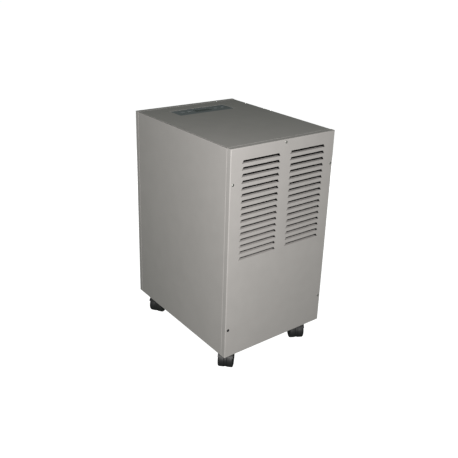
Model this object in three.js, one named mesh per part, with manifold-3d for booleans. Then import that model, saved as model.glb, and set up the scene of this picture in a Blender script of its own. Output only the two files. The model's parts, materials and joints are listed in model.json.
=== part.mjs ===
// Commercial cabinet dehumidifier on four swivelling casters.
// Millimetres. X is across, Y runs from the louvred outlet face (-) to the operator's intake face (+),
// Z is up, and the caster wheels stand on Z = 0.
import * as THREE from 'three';
import Module from 'manifold-3d';
import { mergeVertices } from 'three/addons/utils/BufferGeometryUtils.js';

const wasm = await Module();
wasm.setup();

// ---- driving dimensions -------------------------------------------------------------------
const WIDTH = 358;
const DEPTH = 468;
const HEIGHT = 600; // the cabinet, without its casters
const CASTER_HEIGHT = 60;
const SHEET = 1.2; // cabinet sheet steel
const GAP = 0.4; // assembly gap between neighbouring pieces

const BOTTOM = CASTER_HEIGHT;
const TOP = CASTER_HEIGHT + HEIGHT;
const SIDE = WIDTH / 2;
const FACE = DEPTH / 2;
const EDGE_RADIUS = 3; // folds between the cabinet's sides and top

const PAN_DEPTH = 16; // how deep the front and rear panels are folded
const PAN_FOLD = 2.5; // fold radius around a panel's face
const RIM_INSET = 3.6; // the wrap's rim steps in by this to pass inside a panel
const RIM_LIP = 17; // flange behind a panel's face, which takes its screws
const WRAP_END = FACE - PAN_DEPTH;

const LOUVRE_ROWS = 16;
const LOUVRE_PITCH = 17.8;
const LOUVRE_FIRST = 33.8; // from the cabinet's top to the first opening
const LOUVRE_OPENING = 10.2; // height of the trapezoid opening
const LOUVRE_FLAP = 8.8; // length of the flap bent in from its lower edge
const LOUVRE_ANGLE = 85; // degrees that the flap is bent in
const LOUVRE_BEND = 0.5; // inside radius of that bend
const LOUVRE_COLUMN = 80.2; // from the middle of the panel to the middle of a column
const LOUVRE_HALF_BOTTOM = 64.4;
const LOUVRE_HALF_TOP = 58.4;

const SCREW_INSET = 8.8; // from the panel's side edge to a screw
const SCREW_TOP = 7.4; // from the panel's top edge to the middle screw
const SCREW_UPPER = 567;
const SCREW_LOWER = 147;
const SCREW_HEAD_RADIUS = 4.1;
const SCREW_HEAD = 2.6;
const SCREW_REAR = 628;

const FASCIA = { x: 97.5, y0: 114.5, y1: 173.5 }; // control fascia in the top, near the rear
const KEY_XS = [-72, -48, 48, 72];
const KEY_RADIUS = 7;
const KEY_Y = 144;
const WINDOW = { x: 30, y: 12 }; // half sizes of the display window

const SHELF = 328; // underside of the shelf between the two bays
const SHELF_SHEET = 1.5;
const DIVIDER_Y = 50;

const INTAKE = { x: 146, z0: 352, z1: 606 }; // opening in the rear panel for the filter cassette
const TANK_BAY = { x: 130, z0: 80, z1: 318 }; // opening in the rear panel for the water tank

const COIL = { x: 142, z0: 334, z1: 588 };
const EVAPORATOR = [150, 186];
const CONDENSER = [104, 140];

const FAN_Z = 490;
const FAN_RADIUS = 121;
const SHROUD_Y = 40;
const SHROUD_HOLE = 126;

const COMPRESSOR = { x: -70, y: -95, radius: 60, z0: 72, z1: 290 };
const ACCUMULATOR = { x: 26, y: -95, radius: 26, z0: 112, z1: 268 };

const CASTER_X = 131;
const CASTER_Y = 183;
const CASTER_TRAIL = 17;
const WHEEL_RADIUS = 25;
const WHEEL_INNER = 3.6;
const WHEEL_OUTER = 21.8;
// which way each caster trails, as the machine was last rolled, in degrees from +X
const CASTERS = [
  { name: 'front_left', x: -CASTER_X, y: -CASTER_Y, heading: 225 },
  { name: 'front_right', x: CASTER_X, y: -CASTER_Y, heading: 240 },
  { name: 'rear_left', x: -CASTER_X, y: CASTER_Y, heading: 214 },
  { name: 'rear_right', x: CASTER_X, y: CASTER_Y, heading: 228 },
];

// ---- materials ----------------------------------------------------------------------------
function material(color, roughness, metalness) {
  return new THREE.MeshStandardMaterial({ color, roughness, metalness, flatShading: true });
}
const POWDER_COAT = material('#b4afaa', 0.62, 0.0);
const GALVANISED = material('#a9acad', 0.45, 0.85);
const BLACK_PLASTIC = material('#17181a', 0.5, 0.0);
const GREY_PLASTIC = material('#8d9092', 0.55, 0.0);
const FASCIA_FILM = material('#3c4349', 0.4, 0.0);
const SMOKED_WINDOW = material('#101418', 0.12, 0.0);
const TANK_PLASTIC = material('#9c9a94', 0.5, 0.0);
const COPPER = material('#b5693c', 0.3, 1.0);
const FIN_ALUMINIUM = material('#c4c8ca', 0.4, 0.9);
const COMPRESSOR_PAINT = material('#1d1f20', 0.45, 0.1);
const ZINC = material('#b9bcb8', 0.35, 0.9);
const BLACK_OXIDE = material('#1a1a1c', 0.4, 0.6);
const TREAD_RUBBER = material('#131315', 0.75, 0.0);
const FILTER_NYLON = material('#26292b', 0.85, 0.0);
const BOARD_GREEN = material('#1e4a33', 0.5, 0.0);
const FOAM_WHITE = material('#e6e4dc', 0.7, 0.0);

// ---- solids -------------------------------------------------------------------------------
function solid(geometry) {
  const bare = geometry.clone();
  bare.deleteAttribute('normal');
  bare.deleteAttribute('uv');
  const merged = mergeVertices(bare, 1e-4);
  const vertProperties = new Float32Array(merged.attributes.position.array);
  const triVerts = new Uint32Array(merged.index.array);
  return new wasm.Manifold(new wasm.Mesh({ numProp: 3, vertProperties, triVerts }));
}

function join(first, ...others) {
  return others.reduce((whole, other) => whole.add(other), first);
}

function cut(first, ...others) {
  return others.reduce((rest, other) => rest.subtract(other), first);
}

// two places on one axis, lower one first
function span(a, b) {
  return [Math.min(a, b), Math.max(a, b)];
}

function block(x0, x1, y0, y1, z0, z1) {
  const geometry = new THREE.BoxGeometry(x1 - x0, y1 - y0, z1 - z0);
  geometry.translate((x0 + x1) / 2, (y0 + y1) / 2, (z0 + z1) / 2);
  return solid(geometry);
}

const TURN_TO = {
  x: new THREE.Matrix4().makeRotationZ(-Math.PI / 2),
  y: new THREE.Matrix4(),
  z: new THREE.Matrix4().makeRotationX(Math.PI / 2),
};

// a round bar along one axis, starting at a point
function rod(axis, radius, length, x, y, z, sides = 16) {
  const geometry = new THREE.CylinderGeometry(radius, radius, length, sides);
  geometry.translate(0, length / 2, 0);
  geometry.applyMatrix4(TURN_TO[axis]);
  geometry.translate(x, y, z);
  return solid(geometry);
}

// a turned body about one axis: the profile is [radius, distance along the axis] pairs
function turned(axis, profile, x, y, z, sides = 24) {
  const points = profile.map(([radius, along]) => new THREE.Vector2(radius, along));
  const geometry = new THREE.LatheGeometry(points, sides);
  geometry.applyMatrix4(TURN_TO[axis]);
  geometry.translate(x, y, z);
  return solid(geometry);
}

function polygon(points) {
  return new THREE.Shape(points.map(([a, b]) => new THREE.Vector2(a, b)));
}

function roundedRect(x0, x1, y0, y1, radius) {
  const shape = new THREE.Shape();
  shape.moveTo(x0 + radius, y0);
  shape.lineTo(x1 - radius, y0);
  shape.absarc(x1 - radius, y0 + radius, radius, -Math.PI / 2, 0);
  shape.lineTo(x1, y1 - radius);
  shape.absarc(x1 - radius, y1 - radius, radius, 0, Math.PI / 2);
  shape.lineTo(x0 + radius, y1);
  shape.absarc(x0 + radius, y1 - radius, radius, Math.PI / 2, Math.PI);
  shape.lineTo(x0, y0 + radius);
  shape.absarc(x0 + radius, y0 + radius, radius, Math.PI, Math.PI * 1.5);
  return shape;
}

const ARC_STEPS = 1; // an extruded outline's quarter turns have twice this many flats

function extruded(shape, depth, curveSegments) {
  return new THREE.ExtrudeGeometry(shape, { depth, bevelEnabled: false, curveSegments });
}

// a shape drawn across X and Z, extruded from y0 to y1
function acrossXZ(shape, y0, y1, steps = ARC_STEPS) {
  const geometry = extruded(shape, y1 - y0, steps);
  geometry.rotateX(Math.PI / 2);
  geometry.translate(0, y1, 0);
  return solid(geometry);
}

// a shape drawn across Y and Z, extruded from x0 to x1
function acrossYZ(shape, x0, x1, steps = ARC_STEPS) {
  const geometry = extruded(shape, x1 - x0, steps);
  const toYZ = new THREE.Matrix4().makeBasis(
    new THREE.Vector3(0, 1, 0),
    new THREE.Vector3(0, 0, 1),
    new THREE.Vector3(1, 0, 0),
  );
  geometry.applyMatrix4(toYZ);
  geometry.translate(x0, 0, 0);
  return solid(geometry);
}

// a shape drawn across X and Y, extruded from z0 to z1
function acrossXY(shape, z0, z1, steps = ARC_STEPS) {
  const geometry = extruded(shape, z1 - z0, steps);
  geometry.translate(0, 0, z0);
  return solid(geometry);
}

// a round bar that follows a curve
function along(path, radius, sides, steps) {
  const section = new THREE.Shape();
  section.absarc(0, 0, radius, 0, Math.PI * 2);
  const options = { steps, extrudePath: path, bevelEnabled: false, curveSegments: sides / 2 };
  return solid(new THREE.ExtrudeGeometry(section, options));
}

// straight runs joined by bends of one radius
function bentPath(points, bend) {
  const stops = points.map((p) => new THREE.Vector3(...p));
  const path = new THREE.CurvePath();
  let from = stops[0];
  for (let i = 1; i < stops.length - 1; i += 1) {
    const corner = stops[i];
    const into = corner.clone().add(stops[i - 1].clone().sub(corner).setLength(bend));
    const out = corner.clone().add(stops[i + 1].clone().sub(corner).setLength(bend));
    path.add(new THREE.LineCurve3(from, into));
    path.add(new THREE.QuadraticBezierCurve3(into, corner, out));
    from = out;
  }
  path.add(new THREE.LineCurve3(from, stops[stops.length - 1]));
  return path;
}

function mesh(name, body, finish) {
  const { vertProperties, triVerts } = body.getMesh();
  const geometry = new THREE.BufferGeometry();
  geometry.setAttribute('position', new THREE.BufferAttribute(new Float32Array(vertProperties), 3));
  geometry.setIndex(new THREE.BufferAttribute(new Uint32Array(triVerts), 1));
  const piece = new THREE.Mesh(geometry, finish);
  piece.name = name;
  return piece;
}

const machine = new THREE.Group();
function add(name, body, finish, group = machine) {
  group.add(mesh(name, body, finish));
}

// ---- cabinet sheet metal ------------------------------------------------------------------
// the U of the cabinet's sides and top, open at the bottom, set in by some amount
function archOutline(inset, radius, foot) {
  const x = SIDE - inset;
  const z = TOP - inset;
  const shape = new THREE.Shape();
  shape.moveTo(-x, foot);
  shape.lineTo(x, foot);
  shape.lineTo(x, z - radius);
  shape.absarc(x - radius, z - radius, radius, 0, Math.PI / 2);
  shape.lineTo(-x + radius, z);
  shape.absarc(-x + radius, z - radius, radius, Math.PI / 2, Math.PI);
  return shape;
}

function arch(outerInset, innerInset, y0, y1, foot) {
  const outer = acrossXZ(archOutline(outerInset, EDGE_RADIUS, foot), y0, y1);
  const inner = acrossXZ(archOutline(innerInset, EDGE_RADIUS - SHEET, foot - 1), y0 - 1, y1 + 1);
  return cut(outer, inner);
}

// the step, rim and lip at one end of the wrap: way is -1 at the front and 1 at the rear
function wrapEnd(way) {
  const footOfRim = BOTTOM + SHEET + GAP;
  const stepY = WRAP_END - SHEET;
  const lipY = FACE - SHEET - GAP;
  const step = arch(0, RIM_INSET + SHEET, ...span(way * stepY, way * WRAP_END), BOTTOM);
  const rim = arch(RIM_INSET, RIM_INSET + SHEET, ...span(way * stepY, way * lipY), footOfRim);
  const lip = arch(RIM_INSET, RIM_INSET + RIM_LIP, ...span(way * (lipY - SHEET), way * lipY), footOfRim);
  return join(step, rim, lip);
}

const screwX = SIDE - SCREW_INSET;
const FRONT_SCREWS = [
  { name: 'screw_front_top', x: 0, z: TOP - SCREW_TOP, finish: ZINC },
  { name: 'screw_front_upper_left', x: -screwX, z: SCREW_UPPER, finish: ZINC },
  { name: 'screw_front_upper_right', x: screwX, z: SCREW_UPPER, finish: ZINC },
  { name: 'screw_front_lower_left', x: -screwX, z: SCREW_LOWER, finish: BLACK_OXIDE },
  { name: 'screw_front_lower_right', x: screwX, z: SCREW_LOWER, finish: ZINC },
];
const REAR_SCREWS = [
  { name: 'screw_rear_left', x: -screwX, z: SCREW_REAR, finish: ZINC },
  { name: 'screw_rear_right', x: screwX, z: SCREW_REAR, finish: ZINC },
];
const SHANK_RADIUS = 2;

function screwHoles(screws, y0, y1) {
  return screws.map(({ x, z }) => rod('y', SHANK_RADIUS + GAP, y1 - y0, x, y0, z, 8));
}

function cabinetWrap() {
  const shell = arch(0, SHEET, -WRAP_END, WRAP_END, BOTTOM);
  const fasciaHole = block(-FASCIA.x, FASCIA.x, FASCIA.y0, FASCIA.y1, TOP - 3, TOP + 1);
  return cut(
    join(shell, wrapEnd(-1), wrapEnd(1)),
    fasciaHole,
    ...screwHoles(FRONT_SCREWS, -FACE, -WRAP_END),
    ...screwHoles(REAR_SCREWS, WRAP_END, FACE),
  );
}

// a panel folded back on four sides, with its face at y = -FACE
function pan() {
  const outline = roundedRect(-SIDE + PAN_FOLD, SIDE - PAN_FOLD, BOTTOM + PAN_FOLD, TOP - PAN_FOLD, 0.8);
  const options = {
    depth: PAN_DEPTH,
    bevelThickness: PAN_FOLD,
    bevelSize: PAN_FOLD,
    bevelSegments: 3,
    curveSegments: 1,
  };
  const geometry = new THREE.ExtrudeGeometry(outline, options);
  geometry.rotateX(Math.PI / 2);
  geometry.translate(0, PAN_DEPTH + PAN_FOLD - FACE, 0);
  const back = PAN_DEPTH - GAP - FACE;
  const folded = solid(geometry).intersect(block(-SIDE - 1, SIDE + 1, -FACE - 1, back, 0, TOP + 1));
  const hollow = block(
    -SIDE + SHEET, SIDE - SHEET, -FACE + SHEET, back + 1, BOTTOM + SHEET, TOP - SHEET,
  );
  return cut(folded, hollow);
}

const LOUVRE_TAPER = (LOUVRE_HALF_BOTTOM - LOUVRE_HALF_TOP) / LOUVRE_OPENING;

function louvreOpening() {
  const outline = polygon([
    [-LOUVRE_HALF_BOTTOM, 0],
    [LOUVRE_HALF_BOTTOM, 0],
    [LOUVRE_HALF_TOP, LOUVRE_OPENING],
    [-LOUVRE_HALF_TOP, LOUVRE_OPENING],
  ]);
  return acrossXZ(outline, -FACE - 1, -FACE + SHEET + 1);
}

// the flap of one louvre: the sheet between two arcs about one centre, then a straight blade
function louvreFlap() {
  const outer = LOUVRE_BEND + SHEET;
  const angle = THREE.MathUtils.degToRad(LOUVRE_ANGLE);
  const straight = LOUVRE_FLAP - (LOUVRE_BEND + SHEET / 2) * angle;
  const centreY = -FACE + outer;
  const steps = 2;
  const arcPoint = (radius, turn) => [centreY - radius * Math.cos(turn), radius * Math.sin(turn)];
  const blade = ([y, z]) => [y + straight * Math.sin(angle), z + straight * Math.cos(angle)];
  const outside = [];
  const inside = [];
  for (let i = 0; i <= steps; i += 1) {
    outside.push(arcPoint(outer, (angle * i) / steps));
    inside.push(arcPoint(LOUVRE_BEND, (angle * i) / steps));
  }
  outside.push(blade(outside[steps]));
  inside.push(blade(inside[steps]));
  const root = [[-FACE + SHEET, -0.5], [-FACE, -0.5]];
  const outline = polygon([...root, ...outside, ...inside.reverse()]);
  const strip = acrossYZ(outline, -LOUVRE_HALF_BOTTOM, LOUVRE_HALF_BOTTOM);
  const reach = LOUVRE_FLAP + 2;
  const half = LOUVRE_HALF_BOTTOM - GAP / 2;
  const plan = polygon([
    [-half, -FACE - 1],
    [half, -FACE - 1],
    [half - LOUVRE_TAPER * reach, -FACE + reach],
    [-half + LOUVRE_TAPER * reach, -FACE + reach],
  ]);
  return strip.intersect(acrossXY(plan, -1, LOUVRE_OPENING));
}

function louvredPanel() {
  const places = [];
  for (const column of [-LOUVRE_COLUMN, LOUVRE_COLUMN]) {
    for (let row = 0; row < LOUVRE_ROWS; row += 1) {
      places.push([column, 0, TOP - LOUVRE_FIRST - LOUVRE_OPENING - row * LOUVRE_PITCH]);
    }
  }
  const opening = louvreOpening();
  const flap = louvreFlap();
  const pierced = cut(pan(), ...places.map((place) => opening.translate(place)));
  const louvred = join(pierced, ...places.map((place) => flap.translate(place)));
  return cut(louvred, ...screwHoles(FRONT_SCREWS, -FACE - 1, -FACE + SHEET + 1));
}

const GLAND = { x: 146, z: 100, radius: 7 };

function rearPanel() {
  const intake = block(-INTAKE.x, INTAKE.x, FACE - 3, FACE + 1, INTAKE.z0, INTAKE.z1);
  const tankWay = block(-TANK_BAY.x, TANK_BAY.x, FACE - 3, FACE + 1, TANK_BAY.z0, TANK_BAY.z1);
  const glandHole = rod('y', GLAND.radius + GAP, 5, GLAND.x, FACE - 3, GLAND.z, 16);
  const turnedPan = pan().rotate([0, 0, 180]);
  return cut(turnedPan, intake, tankWay, glandHole, ...screwHoles(REAR_SCREWS, FACE - 3, FACE + 1));
}

function screw(x, y, z, way) {
  const head = [
    [0, -10],
    [SHANK_RADIUS, -10],
    [SHANK_RADIUS, GAP / 2],
    [SCREW_HEAD_RADIUS, GAP / 2],
    [SCREW_HEAD_RADIUS, 1.4],
    [SCREW_HEAD_RADIUS * 0.72, 2.3],
    [0, SCREW_HEAD],
  ];
  const body = turned('y', head, 0, 0, 0, 10);
  const drive = SCREW_HEAD - 1.3;
  const cross = join(
    block(-2, 2, drive, SCREW_HEAD + 1, -0.5, 0.5),
    block(-0.5, 0.5, drive, SCREW_HEAD + 1, -2, 2),
  );
  return cut(body, cross).rotate([0, 0, way < 0 ? 180 : 0]).translate([x, y, z]);
}

const BASE_SHEET = 1.5;
const BASE_FLOOR = BOTTOM + BASE_SHEET;
const BASE_X = SIDE - SHEET - GAP;
const BASE_Y = WRAP_END - SHEET - GAP;
const BASE_RISE = 19;
const RUNNER = { x: 90, half: 10, y0: 78, y1: 206 }; // the tank slides on two of these
const RUNNER_TOP = TANK_BAY.z0 + GAP;
const FOOT_RADIUS = 78; // from the compressor's axis to its feet
const FOOT_ANGLES = [90, 210, 330];

function footPlace(angle) {
  const turn = THREE.MathUtils.degToRad(angle);
  return [COMPRESSOR.x + FOOT_RADIUS * Math.cos(turn), COMPRESSOR.y + FOOT_RADIUS * Math.sin(turn)];
}

function basePan() {
  const outside = block(-BASE_X, BASE_X, -BASE_Y, BASE_Y, BOTTOM, BOTTOM + BASE_RISE);
  const inside = block(
    -BASE_X + BASE_SHEET, BASE_X - BASE_SHEET,
    -BASE_Y + BASE_SHEET, BASE_Y - BASE_SHEET,
    BASE_FLOOR, TOP,
  );
  const runners = [-RUNNER.x, RUNNER.x].map((x) => {
    return block(x - RUNNER.half, x + RUNNER.half, RUNNER.y0, RUNNER.y1, BOTTOM + 0.5, RUNNER_TOP);
  });
  const studs = FOOT_ANGLES.map((angle) => rod('z', 3, 32, ...footPlace(angle), BOTTOM + 0.5, 8));
  return join(cut(outside, inside), ...runners, ...studs);
}

// the discharge and suction pipes pass through the divider at one height each, and up through the shelf
const DISCHARGE_WAY = { x: -143, y: 72, z: 312, radius: 8 };
const SUCTION_WAY = { x: 150, y: 72, z: 300, radius: 9 };
const PIPE_WAYS = [DISCHARGE_WAY, SUCTION_WAY];
const DRAIN = { x: 0, y: 168, z: 309, radius: 7 }; // the drip tray's spout ends at z

const SHELF_X = SIDE - SHEET - GAP;
const SHELF_FLANGE = 12;

function midShelf() {
  const plate = block(-SHELF_X, SHELF_X, -BASE_Y, BASE_Y, SHELF, SHELF + SHELF_SHEET);
  const flanges = [-1, 1].map((way) => {
    const x = span(way * SHELF_X, way * (SHELF_X - SHELF_SHEET));
    return block(...x, -BASE_Y, BASE_Y, SHELF - SHELF_FLANGE, SHELF + 0.5);
  });
  const ways = PIPE_WAYS.map((way) => rod('z', way.radius, 10, way.x, way.y, SHELF - 4, 12));
  const drain = rod('z', DRAIN.radius + 1, 10, DRAIN.x, DRAIN.y, SHELF - 4, 12);
  return cut(join(plate, ...flanges), ...ways, drain);
}

function divider() {
  const x = BASE_X - BASE_SHEET - GAP;
  const z0 = BASE_FLOOR + GAP;
  const y1 = DIVIDER_Y + SHELF_SHEET;
  const plate = block(-x, x, DIVIDER_Y, y1, z0, SHELF - GAP);
  const foot = block(-x, x, DIVIDER_Y - 14, DIVIDER_Y + 0.5, z0, z0 + SHELF_SHEET);
  const flangeX = SHELF_X - SHELF_SHEET - GAP;
  const clearOfFlanges = [-1, 1].map((way) => {
    return block(...span(way * flangeX, way * SIDE), 0, 100, SHELF - SHELF_FLANGE - GAP, SHELF + 1);
  });
  const ways = PIPE_WAYS.map((way) => rod('y', way.radius, 10, way.x, DIVIDER_Y - 4, way.z, 12));
  return cut(join(plate, foot), ...clearOfFlanges, ...ways);
}

// ---- air path -----------------------------------------------------------------------------
const TUBE_PITCH = 25;
const TUBE_RADIUS = 4.5;
const COIL_TUBES = 10;
const END_PLATE = 2;
const COIL_STUB = 12; // the tubes' ends stand out of the left end plate
const COIL_LOW = (COIL.z0 + COIL.z1 - (COIL_TUBES - 1) * TUBE_PITCH) / 2;
const COIL_HIGH = COIL_LOW + (COIL_TUBES - 1) * TUBE_PITCH;

// a fin block between end plates, its tubes joined by return bends at both ends
function coil([y0, y1]) {
  const middle = (y0 + y1) / 2;
  const fins = block(-COIL.x + 1, COIL.x - 1, y0 + 2, y1 - 2, COIL.z0 + 1, COIL.z1 - 1);
  const plates = [-1, 1].map((way) => {
    return block(...span(way * COIL.x, way * (COIL.x - END_PLATE)), y0, y1, COIL.z0, COIL.z1);
  });
  const bulge = (TUBE_PITCH / 2) * (4 / 3);
  const bends = [];
  for (let i = 0; i < COIL_TUBES - 1; i += 1) {
    const way = i % 2 ? -1 : 1;
    const z = COIL_LOW + i * TUBE_PITCH;
    const root = way * (COIL.x - 1);
    const out = way * (COIL.x + bulge);
    const curve = new THREE.CubicBezierCurve3(
      new THREE.Vector3(root, middle, z),
      new THREE.Vector3(out, middle, z),
      new THREE.Vector3(out, middle, z + TUBE_PITCH),
      new THREE.Vector3(root, middle, z + TUBE_PITCH),
    );
    bends.push(along(curve, TUBE_RADIUS, 6, 3));
  }
  const stubs = [COIL_LOW, COIL_HIGH].map((z) => {
    return rod('x', TUBE_RADIUS, COIL_STUB + END_PLATE, -COIL.x - COIL_STUB, middle, z, 6);
  });
  return join(fins, ...plates, ...bends, ...stubs);
}

const TRAY = { x: 162, y0: 145, y1: 191, z0: 330, z1: 345 };

function dripTray() {
  const wall = 1.5;
  const outside = block(-TRAY.x, TRAY.x, TRAY.y0, TRAY.y1, TRAY.z0, TRAY.z1);
  const inside = block(
    -TRAY.x + wall, TRAY.x - wall, TRAY.y0 + wall, TRAY.y1 - wall, TRAY.z0 + wall, TRAY.z1 + 1,
  );
  const spout = rod('z', DRAIN.radius, TRAY.z0 + 1 - DRAIN.z, DRAIN.x, DRAIN.y, DRAIN.z, 12);
  const bore = rod('z', DRAIN.radius - 2, 30, DRAIN.x, DRAIN.y, DRAIN.z - 4, 12);
  return cut(join(outside, spout), inside, bore);
}

function fanShroud() {
  const z = [SHELF + SHELF_SHEET + GAP, TOP - SHEET - GAP];
  const plate = block(-SHELF_X, SHELF_X, SHROUD_Y, SHROUD_Y + SHELF_SHEET, ...z);
  const ring = rod('y', SHROUD_HOLE + SHELF_SHEET, 28, 0, SHROUD_Y - 27, FAN_Z, 32);
  const hole = rod('y', SHROUD_HOLE, 60, 0, SHROUD_Y - 40, FAN_Z, 32);
  const corners = [-1, 1].map((way) => {
    return block(...span(way * SHELF_X, way * (SHELF_X - 6)), 0, 100, TOP - 8, TOP);
  });
  return cut(join(plate, ring), hole, ...corners);
}

const MOTOR = { radius: 42, y0: 47, y1: 90 };
const BRACKET = { reach: 138, half: 14, sheet: 2.5, foot: 16 };
const SHAFT_RADIUS = 4;

function fanMotor() {
  const can = [
    [0, 0],
    [18, 0],
    [20, 4],
    [MOTOR.radius - 3, 4],
    [MOTOR.radius, 7],
    [MOTOR.radius, MOTOR.y1 - MOTOR.y0 - 3],
    [MOTOR.radius - 3, MOTOR.y1 - MOTOR.y0],
    [0, MOTOR.y1 - MOTOR.y0],
  ];
  const body = turned('y', can, 0, MOTOR.y0, FAN_Z, 24);
  const shaft = rod('y', SHAFT_RADIUS, MOTOR.y0 + 2, 0, 1, FAN_Z, 12);
  return join(body, shaft);
}

// a strap behind the motor, with legs that reach forward to the shroud
function motorBracket() {
  const { reach, half, sheet, foot } = BRACKET;
  const strapY = MOTOR.y1 + GAP;
  const legY = SHROUD_Y + SHELF_SHEET + GAP;
  const z = [FAN_Z - half, FAN_Z + half];
  const strap = block(-reach, reach, strapY, strapY + sheet, ...z);
  const legs = [-1, 1].map((way) => join(
    block(...span(way * reach, way * (reach - sheet)), legY, strapY + 1, ...z),
    block(...span(way * reach, way * (reach + foot)), legY, legY + sheet, ...z),
  ));
  return join(strap, ...legs);
}

const BLADES = 5;
const HUB = { radius: 32, y0: 3, y1: 33 };

function impeller() {
  const hub = turned('y', [
    [0, 0],
    [HUB.radius - 6, 0],
    [HUB.radius, 5],
    [HUB.radius, HUB.y1 - HUB.y0],
    [0, HUB.y1 - HUB.y0],
  ], 0, HUB.y0, FAN_Z, 20);
  const outline = new THREE.Shape();
  outline.moveTo(HUB.radius - 6, -14);
  outline.quadraticCurveTo(80, -52, FAN_RADIUS - 6, -30);
  outline.quadraticCurveTo(FAN_RADIUS + 6, 6, FAN_RADIUS - 16, 44);
  outline.quadraticCurveTo(70, 18, HUB.radius - 6, 14);
  const options = { depth: 2.4, bevelEnabled: false, curveSegments: 5 };
  const blades = [];
  for (let i = 0; i < BLADES; i += 1) {
    const geometry = new THREE.ExtrudeGeometry(outline, options);
    geometry.rotateX(THREE.MathUtils.degToRad(90 - 24));
    geometry.rotateY((Math.PI * 2 * i) / BLADES);
    geometry.translate(0, (HUB.y0 + HUB.y1) / 2, FAN_Z);
    blades.push(solid(geometry));
  }
  const sweep = rod('y', FAN_RADIUS, 80, 0, HUB.y0 - 30, FAN_Z, 32);
  const bore = rod('y', SHAFT_RADIUS + GAP, 40, 0, -5, FAN_Z, 12);
  return cut(join(hub, ...blades).intersect(sweep), bore);
}

const CASSETTE = { x: INTAKE.x - 0.5, z0: INTAKE.z0 + 0.5, z1: INTAKE.z1 - 0.5, y0: 212, y1: FACE - 0.3 };
const CASSETTE_BORDER = 13;
const SLATS = 13;
const SLAT = { front: 1, back: 12, rise: 3.2, fall: 1.6, thickness: 2.2 }; // sloping down to the face

function filterFrame() {
  const { x, z0, z1, y0, y1 } = CASSETTE;
  const openX = x - CASSETTE_BORDER;
  const border = cut(
    block(-x, x, y0, y1, z0, z1),
    block(-openX, openX, y0 - 1, y1 + 1, z0 + CASSETTE_BORDER, z1 - CASSETTE_BORDER),
  );
  const slats = [];
  const pitch = (z1 - z0 - 2 * CASSETTE_BORDER) / SLATS;
  for (let i = 0; i < SLATS; i += 1) {
    const z = z0 + CASSETTE_BORDER + (i + 0.5) * pitch;
    const outline = polygon([
      [y1 - SLAT.back, z + SLAT.rise],
      [y1 - SLAT.front, z - SLAT.fall],
      [y1 - SLAT.front, z - SLAT.fall + SLAT.thickness],
      [y1 - SLAT.back, z + SLAT.rise + SLAT.thickness],
    ]);
    slats.push(acrossYZ(outline, -openX - 1, openX + 1));
  }
  const ribs = [-45, 45].map((at) => block(at - 2, at + 2, y1 - 13, y1 - 1.5, z0 + 5, z1 - 5));
  const middle = (z0 + z1) / 2;
  const recess = [-1, 1].map((way) => {
    const across = span(way * (x - 3.5), way * (openX + 1.5));
    return block(...across, y1 - 9, y1 + 1, middle - 32, middle + 32);
  });
  const seat = block(-x + 8, x - 8, y0 - 1, y0 + 5, z0 + 8, z1 - 8);
  return cut(join(border, ...slats, ...ribs), seat, ...recess);
}

function filterMesh() {
  const { x, z0, z1, y0 } = CASSETTE;
  return block(-x + 8.4, x - 8.4, y0 + 0.6, y0 + 4.4, z0 + 8.4, z1 - 8.4);
}

// ---- refrigeration ------------------------------------------------------------------------
const EAR = { radius: 15, sheet: 3, hole: 6 }; // the compressor's feet

function compressor() {
  const { x, y, radius, z0, z1 } = COMPRESSOR;
  const shell = turned('z', [
    [0, z0],
    [radius - 22, z0],
    [radius - 6, z0 + 8],
    [radius, z0 + 22],
    [radius, z1 - 40],
    [radius - 4, z1 - 24],
    [radius - 18, z1 - 10],
    [14, z1 - 4],
    [5, z1 - 4],
    [5, z1],
    [0, z1],
  ], x, y, 0, 20);
  const ears = FOOT_ANGLES.map((angle) => {
    const foot = footPlace(angle);
    const earZ = z0 + 10;
    const arm = block(0, FOOT_RADIUS, -EAR.radius, EAR.radius, earZ, earZ + EAR.sheet)
      .rotate([0, 0, angle])
      .translate([x, y, 0]);
    const tip = rod('z', EAR.radius, EAR.sheet, ...foot, earZ, 12);
    return cut(join(arm, tip), rod('z', EAR.hole, 3 * EAR.sheet, ...foot, earZ - EAR.sheet, 8));
  });
  return join(shell, ...ears);
}

function terminalCover() {
  const { x, y, radius } = COMPRESSOR;
  const cover = acrossXY(roundedRect(x - 26, x + 26, y - radius - 16, y - radius + 14, 5), 196, 246);
  return cut(cover, rod('z', radius + 1, 100, x, y, 170, 28));
}

function accumulator() {
  const { x, y, radius, z0, z1 } = ACCUMULATOR;
  const vessel = turned('z', [
    [0, z0],
    [radius - 10, z0 + 3],
    [radius, z0 + 14],
    [radius, z1 - 14],
    [radius - 10, z1 - 3],
    [5, z1],
    [0, z1],
  ], x, y, 0, 16);
  const entry = COMPRESSOR.x + COMPRESSOR.radius + GAP;
  const elbow = bentPath([[x, y, z0 + 6], [x, y, z0 - 22], [entry, y, z0 - 22]], 14);
  return join(vessel, along(elbow, 6, 8, 12));
}

const COIL_STUB_X = -COIL.x - COIL_STUB - GAP;
const CONDENSER_Y = (CONDENSER[0] + CONDENSER[1]) / 2;
const EVAPORATOR_Y = (EVAPORATOR[0] + EVAPORATOR[1]) / 2;
const LEFT_RUN_X = -166; // pipes beside the coils run here
const DRIER = { x: LEFT_RUN_X + 1, y: 72, z0: 356, z1: 432 };

function dischargePipe() {
  const { x, y, z1 } = COMPRESSOR;
  const way = DISCHARGE_WAY;
  const route = [
    [x, y, z1 + GAP],
    [x, y, way.z],
    [way.x, -60, way.z],
    [way.x, way.y, way.z],
    [way.x, way.y, 600],
    [LEFT_RUN_X, CONDENSER_Y, 600],
    [LEFT_RUN_X, CONDENSER_Y, COIL_HIGH],
    [COIL_STUB_X, CONDENSER_Y, COIL_HIGH],
  ];
  return along(bentPath(route, 9), 4, 6, 36);
}

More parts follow.
